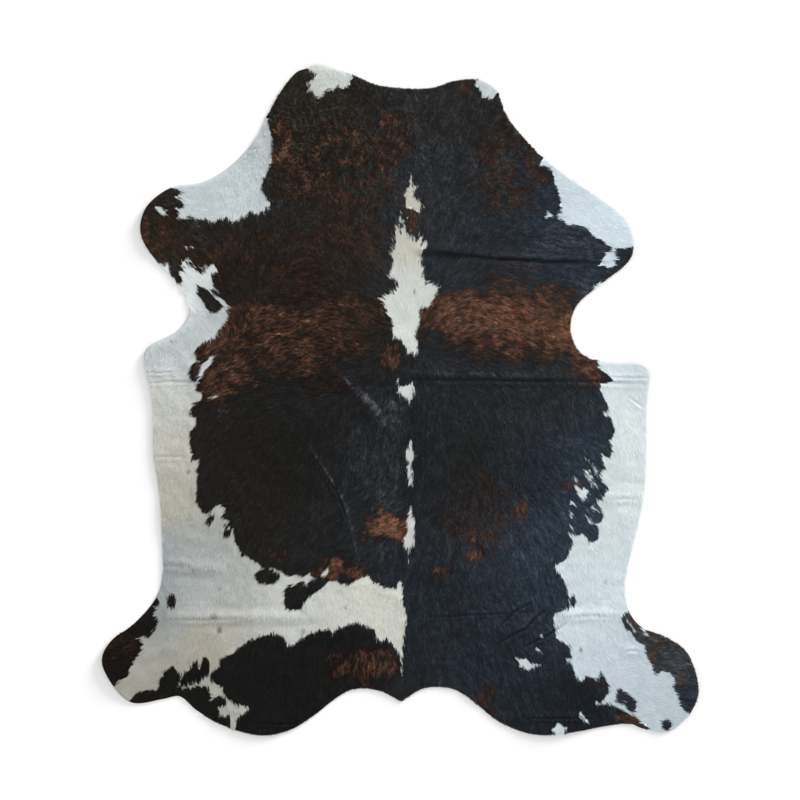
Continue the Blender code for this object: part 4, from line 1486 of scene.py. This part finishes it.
def lay_out(mesh, kinds):
    """Lays the sheet's sides beside each other on its map, as seen from above."""
    corner = corner_numbers(mesh)
    first = np.empty(len(mesh.polygons), dtype=np.int32)
    mesh.polygons.foreach_get("loop_start", first)
    count = np.diff(np.append(first, len(corner)))
    kind = np.repeat(kinds, count)
    spot = np.vstack(places)[corner]
    across = (spot[:, 0] - hide_low.x) / (hide_high.x - hide_low.x)
    along = (spot[:, 1] - hide_low.y) / (hide_high.y - hide_low.y)
    half = 0.5 - GUTTER
    u = np.where(kind == HAIR_SIDE, half * across, 0.5 + GUTTER + half * across)
    v = RIM_STRIP + GUTTER + (1 - RIM_STRIP - GUTTER) * along
    face = np.repeat(np.arange(len(first)), count) - kinds.index(RIM)
    band, place = face // rim_count, face % rim_count
    turn = np.arange(len(corner)) - np.repeat(first, count)
    rim_u = (place + (turn >= 2)) / rim_count
    rim_v = RIM_STRIP * (band + np.isin(turn, (1, 2))) / (len(RINGS) - 1)
    uv = np.where((kind == RIM)[:, None], np.stack((rim_u, rim_v), axis=1), np.stack((u, v), axis=1))
    set_map(mesh, np.clip(uv, 0, 1))


lay_out(skin_mesh, kinds)
print("skin map", len(skin_mesh.loops), "corners")

# %% [markdown]
# ## Sowing the coat
#
# The coat is made of tufts, each a narrow kite of two triangles that stands for a lock of lying hair. Their
# roots are sown over the whole skin in jittered rows, which covers it more evenly than a random scatter. What
# a tuft's colour is depends on the place that its tip half covers, so that a border of a patch ends up where
# its ring says, with single tufts crossing it both ways. Near the cut edge a tuft that would stick out too
# far is shorter, as the hair is trimmed with the leather.

# %% Roots
ROOT_GAP = 0.00272
JITTER = 0.42  # of the gap
ROOTS_INSIDE = 0.0012  # how far from the cut edge the first roots are
DICE_SEED = 7

dice = np.random.default_rng(DICE_SEED)
roots = rows_within(inset(cut_edge, ROOTS_INSIDE), ROOT_GAP)
roots = roots + dice.uniform(-JITTER, JITTER, roots.shape) * ROOT_GAP
lay = lay_of_hair(roots)
print("tufts", len(roots))

# %% Lengths and widths
DARK_LENGTH, WHITE_LENGTH = 0.0125, 0.0165
BORDER_LONGER = 0.45  # as a share, within BORDER_REACH of the borders of the patches
BORDER_REACH = 0.015
HAIR_WIDTH = 0.0024
WIDTH_RANGE = (0.75, 1.3)  # as a share
LENGTH_SPREAD, FARTHEST_LENGTH = 0.22, 2  # the spread, and how many spreads a length may be off
OVERHANG = 0.0026  # how far a tip may pass the cut edge
LENGTH_SHARES = (1.0, 0.86, 0.72, 0.58, 0.46, 0.36)
SEEN_PART = 0.62  # the part of a tuft's length that shows most
CURL_SHORTER = 0.35  # bent locks reach less far
CREASE_SHORTER = 0.35  # as does the broken hair of a crease
CREASE_FULL = 3  # all of the hair is broken from a third of the darkest or brightest crease on

into_white = read_map(white_map, roots)
length = DARK_LENGTH + (WHITE_LENGTH - DARK_LENGTH) * np.clip(into_white / BORDER_REACH + 0.5, 0, 1)
length *= 1 + BORDER_LONGER * bump(np.clip(into_white / BORDER_REACH, -1, 1))
length *= np.exp(LENGTH_SPREAD * dice.standard_normal(len(roots)).clip(-FARTHEST_LENGTH, FARTHEST_LENGTH))
curly = blotted(roots, CURLY)
_, crease_painted_shade, crease_painted_highlight = pressed(roots)
length *= 1 - CURL_SHORTER * curly
length *= 1 - CREASE_SHORTER * np.clip(CREASE_FULL * (crease_painted_shade + crease_painted_highlight), 0, 1)
kept_share = np.full(len(roots), LENGTH_SHARES[-1])
for share in reversed(LENGTH_SHARES[:-1]):
    tips = roots + lay * (length * share)[:, None]
    kept_share = np.where(read_map(room_map, tips) > -OVERHANG, share, kept_share)
length = length * kept_share
width = HAIR_WIDTH * dice.uniform(*WIDTH_RANGE, len(roots))
seen = roots + lay * (length * SEEN_PART)[:, None]
print("mean length", in_mm(length.mean()), "mm")

# %% Randomness that runs along the hair
Smear = namedtuple("Smear", "width step seed places", defaults=(5,))  # places is how often it is read
SMEAR_LAYERS = 2


def smeared(smear):
    """Smooth random numbers for the tufts, in streaks along the hair."""
    total = np.zeros(len(seen))
    for share in np.linspace(-1.0, 1.0, smear.places):
        total += ripples(seen + lay * (share * smear.step), smear.width, smear.seed, SMEAR_LAYERS)
    return total / np.sqrt((total**2).mean())


def chance():
    """An even random number from -1 to 1 for each tuft."""
    return dice.uniform(-1, 1, len(roots))


def grained(fine, broad, odd):
    """Fine and broad streaks, each a strength and its smear, and a part that is odd to each tuft."""
    return fine[0] * smeared(fine[1]) + broad[0] * smeared(broad[1]) + odd * chance()


print("streaks vary by", smeared(Smear(0.0045, 0.009, 51)).std().round(2))

# %% Which tufts are white
BORDER_SMEAR, BORDER_WANDER = Smear(0.0045, 0.009, 51), 0.0018
BORDER_STRAYS = 0.0008
WISP_SMEAR, WISP_WANDER = Smear(0.0032, 0.012, 57, 9), 0.0075

reach = white_reach(seen) + BORDER_WANDER * smeared(BORDER_SMEAR) + BORDER_STRAYS * chance()
reach += WISP_WANDER * blotted(seen, WISPS) * smeared(WISP_SMEAR)
whiteness = reach > 0
print("white", round(float(whiteness.mean()), 3))

# %% Which of the others are brown
RUST_FINE, RUST_BROAD = (0.62, Smear(0.0045, 0.005, 52)), (0.32, Smear(0.016, 0.010, 55))
RUST_ODD = 0.45
LOCK_SIZE, LOCK_SEED = 0.026, 56
LOCK_GRAIN, LOCK_EVEN = 0.8, 0.45  # in the curls whole locks differ and single tufts differ less
MOTTLE = (1.1, 0.31)  # how much weak and strong rust vary from lock to lock, as a share of themselves
BROWN_FROM = 0.08  # below this much rust a tuft stays nearly black
RUST_GLOW, GLOW_FROM, GLOW_RANGE = 0.38, 0.8, 0.5  # the rustiest tufts are lighter still
RIM_WIDTH = 0.005
RIM_RUST = 0.12  # the dark hair along the cut edge is browner

rim = bump(np.minimum(np.maximum(read_map(room_map, seen), 0.0) / RIM_WIDTH, 1.0))
grain = grained(RUST_FINE, RUST_BROAD, RUST_ODD)
locks = blotted(seen, CURLY)
grain += locks * (LOCK_GRAIN * ripples(seen, LOCK_SIZE, LOCK_SEED) - LOCK_EVEN * grain)
rust = np.maximum(blotted(seen, RUST_PATCHES, RAGGED_RUST), RIM_RUST * rim)
rust *= 1 + grain * (MOTTLE[0] + (MOTTLE[1] - MOTTLE[0]) * rust)
brownness = ~whiteness & (rust > BROWN_FROM)
glow = 1 + RUST_GLOW * brownness * np.clip((rust - GLOW_FROM) / GLOW_RANGE, 0, 1)
print("brown", round(float(brownness.mean()), 3))

# %% How light each tuft is: random grain, painted shade and painted highlights
FLICKER_FINE, FLICKER_BROAD = (0.62, Smear(0.0042, 0.004, 53)), (0.40, Smear(0.015, 0.010, 54))
FLICKER_ODD = 0.50
# painted highlight: the white hair along the cut edge is coloured lighter, as if the edge caught the light
PAINTED_RIM_HIGHLIGHT = 1.08
# how much lighter the painted highlight on a crease's shoulders makes the hair
PAINTED_CREASE_HIGHLIGHT = 0.35
# painted shade in the gaps between the locks of the neck and painted highlight on their crests
PAINTED_CURL_GAP_SHADE, PAINTED_CURL_CREST_HIGHLIGHT = 0.62, 1.0
GRAIN_DARK, GRAIN_BROWN, GRAIN_WHITE = 0.36, 0.30, 0.02
# painted highlights: a few tufts are coloured lighter, as if they caught the light
PAINTED_GLINT_SHARE, PAINTED_GLINT = 0.03, 1.9  # a few tufts catch the light

flicker = grained(FLICKER_FINE, FLICKER_BROAD, FLICKER_ODD)
crest = curls(seen)[0]
_, crease_painted_shade, crease_painted_highlight = pressed(seen)
# painted shade in the crease troughs and painted highlight on their shoulders
grain_and_painted_light = (1 - crease_painted_shade) * (1 + PAINTED_CREASE_HIGHLIGHT * crease_painted_highlight)
grain_share = np.where(whiteness, GRAIN_WHITE, np.where(brownness, GRAIN_BROWN, GRAIN_DARK))
grain_and_painted_light *= np.exp(grain_share * flicker)
# painted highlights on a few random tufts
glint = 1 + (PAINTED_GLINT - 1) * (dice.uniform(0, 1, len(roots)) < PAINTED_GLINT_SHARE)
# the locks are coloured darker in their gaps as painted shade and lighter on their crests as a painted
# highlight
painted_curl_light = 1 + locks * (PAINTED_CURL_GAP_SHADE - 1) + PAINTED_CURL_CREST_HIGHLIGHT * crest
# painted highlight along the cut edge of the white; painted glints and painted curl light on the dark
grain_and_painted_light *= np.where(whiteness, 1 + (PAINTED_RIM_HIGHLIGHT - 1) * rim, glint * painted_curl_light * glow)
print("tufts that glint", int((glint > 1).sum()))

# %% Everything that a tuft's material reads
PAINTED_SHEEN_EVEN, PAINTED_SHEEN_FLICKER = 0.8, 0.5
PAINTED_SHEEN_RANGE = (0.1, 1.5)

tone_white, tone_dark = tones_of(seen, WHITE_TONES), tones_of(seen, DARK_TONES)
marks = {
    "lay": with_height(lay),
    "warmth": np.where(whiteness, tone_white[0], tone_dark[0]),
    "light": np.where(whiteness, tone_white[1], tone_dark[1]),
    "rust": rust,
    "sheen": painted_sheen_at(seen) * np.clip(PAINTED_SHEEN_EVEN + PAINTED_SHEEN_FLICKER * flicker, *PAINTED_SHEEN_RANGE),
    "stain": blotted(seen, STAINS, RAGGED_STAIN),
    "grain_and_painted_light": grain_and_painted_light,
}
print("marks", list(marks))

# %% [markdown]
# ## Combing the tufts into place with Geometry Nodes
#
# The tree takes loose points that carry the way up, the lay and the size of their tuft. It turns each tuft so
# that its back faces up and its tip follows the lay, tips it by a random lift, roll and swing, and makes the
# instances real. It is built once and used for every coat.

# %% One tuft: a kite of two triangles, root at the origin, one unit long and wide
WIDEST = 0.42  # how far along the tuft it is widest
ROUGH_DROP, SMOOTH_DROP = 0.12, 0.03


def kite(name, drop):
    """A tuft whose sides hang by drop, as a share of its width."""
    mesh = bpy.data.meshes.new(name)
    corners = [(0.0, 0.0, 0.0), (WIDEST, -0.5, -drop), (1.0, 0.0, -drop), (WIDEST, 0.5, -drop)]
    mesh.from_pydata(corners, [], [(0, 1, 2), (0, 2, 3)])
    store(mesh, "ahead", (0.0, WIDEST, 1.0, WIDEST))
    return bpy.data.objects.new(name, mesh)


tufts = {"rough": kite("rough tuft", ROUGH_DROP), "smooth": kite("smooth tuft", SMOOTH_DROP)}
print("tufts", [tuft.name for tuft in tufts.values()])

# %% The tree and its inputs
combing = bpy.data.node_groups.new("Comb tufts", "GeometryNodeTree")
combing.interface.new_socket("Geometry", in_out="INPUT", socket_type="NodeSocketGeometry")
for title, kind, start in (
    ("Tuft", "NodeSocketObject", None),
    ("Least lift", "NodeSocketFloat", math.radians(3)),
    ("Most lift", "NodeSocketFloat", math.radians(13)),
    ("Roll", "NodeSocketFloat", math.radians(16)),
    ("Swing", "NodeSocketFloat", math.radians(14)),
    ("Seed", "NodeSocketInt", 3),
    ("Material", "NodeSocketMaterial", None),
):
    socket = combing.interface.new_socket(title, in_out="INPUT", socket_type=kind)
    if start is not None:
        socket.default_value = start
combing.interface.new_socket("Geometry", in_out="OUTPUT", socket_type="NodeSocketGeometry")
given = combing.nodes.new("NodeGroupInput").outputs
print("inputs", [socket.name for socket in given if socket.name])


# %% How each tuft is turned
def named(name, kind="FLOAT_VECTOR"):
    """A value that the points carry, by name."""
    return value_of(combing, "GeometryNodeInputNamedAttribute", {"data_type": kind}, {"Name": name})


def backwards(value):
    """A number with its sign changed."""
    return figure(combing, "MULTIPLY", value, -1.0)


upright = value_of(combing, "FunctionNodeAlignRotationToVector", {"axis": "Z"}, {"Vector": named("up")})
facing = value_of(combing, "FunctionNodeAlignRotationToVector", {"axis": "X", "pivot_axis": "Z"}, {
    "Rotation": upright, "Vector": named("lay"),
})
least = value_of(combing, "ShaderNodeCombineXYZ", None, {
    0: backwards(given["Roll"]), 1: backwards(given["Most lift"]), 2: backwards(given["Swing"]),
})
most = value_of(combing, "ShaderNodeCombineXYZ", None, {
    0: given["Roll"], 1: backwards(given["Least lift"]), 2: given["Swing"],
})
turn = value_of(combing, "FunctionNodeRandomValue", {"data_type": "FLOAT_VECTOR"}, {
    0: least, 1: most, "Seed": given["Seed"],
})
turn = dimmed(combing, turn, named("ruffle", "FLOAT"))
turned_by = value_of(combing, "FunctionNodeEulerToRotation", None, {0: turn})
combed = value_of(combing, "FunctionNodeRotateRotation", {"rotation_space": "LOCAL"}, {
    0: facing, 1: turned_by,
})
print("turning", len(combing.nodes), "nodes")

# %% Plant the tufts and give them their material
shape = put(combing, "GeometryNodeObjectInfo", {"transform_space": "ORIGINAL"}, {"Object": given["Tuft"]})
planted = value_of(combing, "GeometryNodeInstanceOnPoints", None, {
    "Points": given["Geometry"],
    "Instance": shape.outputs["Geometry"],
    "Rotation": combed,
    "Scale": named("size"),
})
real = value_of(combing, "GeometryNodeRealizeInstances", None, {"Geometry": planted})
finished = value_of(combing, "GeometryNodeSetMaterial", None, {
    "Geometry": real, "Material": given["Material"],
})
combing.links.new(finished, combing.nodes.new("NodeGroupOutput").inputs["Geometry"])
print("combing tree", len(combing.nodes), "nodes")


# %% Slope of the leather at each root, so that tufts lie along folds
SLOPE_STEP = 0.003
ROOT_DEPTH = 0.0003  # roots start a little inside the skin
WHITE_RUFFLE = 0.45  # the white coat lies smoother
CURLY_RUFFLE = 0.8


def slope_up(points):
    """The way straight out of the leather at each point."""
    across, along = np.array((SLOPE_STEP, 0.0)), np.array((0.0, SLOPE_STEP))
    rise_x = (top_height(points + across) - top_height(points - across)) / (2 * SLOPE_STEP)
    rise_y = (top_height(points + along) - top_height(points - along)) / (2 * SLOPE_STEP)
    up = np.column_stack((-rise_x, -rise_y, np.ones(len(points))))
    return up / np.linalg.norm(up, axis=1)[:, None]


heights = top_height(roots) - ROOT_DEPTH
marks["up"] = slope_up(roots)
marks["ruffle"] = np.where(whiteness, WHITE_RUFFLE, 1 + CURLY_RUFFLE * curly)
marks["size"] = np.column_stack((length, width, width))
print("root heights", in_mm(heights.min()), "to", in_mm(heights.max()), "mm")


# %% Comb one coat
LOWEST_HAIR = 0.0005
MAP_MARGIN = 0.01


def sown(name, chosen):
    """The roots that are chosen, as loose points that carry their marks."""
    points = bpy.data.meshes.new(name)
    points.vertices.add(int(chosen.sum()))
    points.vertices.foreach_set("co", np.column_stack((roots, heights))[chosen].astype(np.float32).ravel())
    for title, values in marks.items():
        store(points, title, values[chosen])
    return add(name, points)


def combed_through(piece, settings):
    """The mesh that the tree makes of the points, with these inputs by name."""
    comb = piece.modifiers.new("comb", "NODES")
    comb.node_group = combing
    inputs = {item.name: item.identifier for item in combing.interface.items_tree if item.in_out == "INPUT"}
    for title, value in settings.items():
        comb[inputs[title]] = value
    graph = bpy.context.evaluated_depsgraph_get()
    combed = piece.evaluated_get(graph)
    made = bpy.data.meshes.new_from_object(combed, preserve_all_data_layers=True, depsgraph=graph)
    piece.modifiers.remove(comb)
    return made


def coat(name, chosen, tuft, material, seed):
    """A piece of the coat, from the roots that are chosen."""
    piece = sown(name, chosen)
    made = combed_through(piece, {"Tuft": tufts[tuft], "Seed": seed, "Material": material})
    piece.data = made
    made.name = name
    for title in ("up", "size", "ruffle"):
        made.attributes.remove(made.attributes[title])
    spot = np.empty(len(made.vertices) * 3, dtype=np.float32)
    made.vertices.foreach_get("co", spot)
    spot[2::3] = np.maximum(spot[2::3], LOWEST_HAIR)
    made.vertices.foreach_set("co", spot)
    low, high = (np.array((end.x, end.y)) for end in (hide_low, hide_high))
    flat = spot.reshape(-1, 3)[corner_numbers(made), :2]
    set_map(made, (flat - low + MAP_MARGIN) / (high - low + 2 * MAP_MARGIN))
    return piece


print("lowest hair", in_mm(LOWEST_HAIR), "mm")

# %% Comb them all
NECK_PART, RUMP_PART = 0.30, -0.36  # the dark coat is parted here, along the hide
RIGHT_PART = 0.1  # and the white one here, across it
FIRST_SEED = 11

dark = ~whiteness & ~brownness
high, low = roots[:, 1] > NECK_PART, roots[:, 1] < RUMP_PART
right = roots[:, 0] >= RIGHT_PART
parts = (
    ("coat_white_left", whiteness & ~right, "smooth", white_hair),
    ("coat_white_right", whiteness & right, "smooth", white_hair),
    ("coat_brown", brownness, "rough", brown_hair),
    ("coat_dark_neck", dark & high, "rough", dark_hair),
    ("coat_dark_back", dark & ~high & ~low, "rough", dark_hair),
    ("coat_dark_rump", dark & low, "rough", dark_hair),
)
coats = [coat(*part, seed) for seed, part in enumerate(parts, FIRST_SEED)]
print("coats", {piece.name: len(piece.data.polygons) for piece in coats})

# %% [markdown]
# ## Riding on the body
#
# The skin stands for the imported hide, which is hidden, and the coats lie on the skin. All of them ride on
# the body "root".

for piece in (skin, *coats):
    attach(piece, "root")
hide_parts("hide")
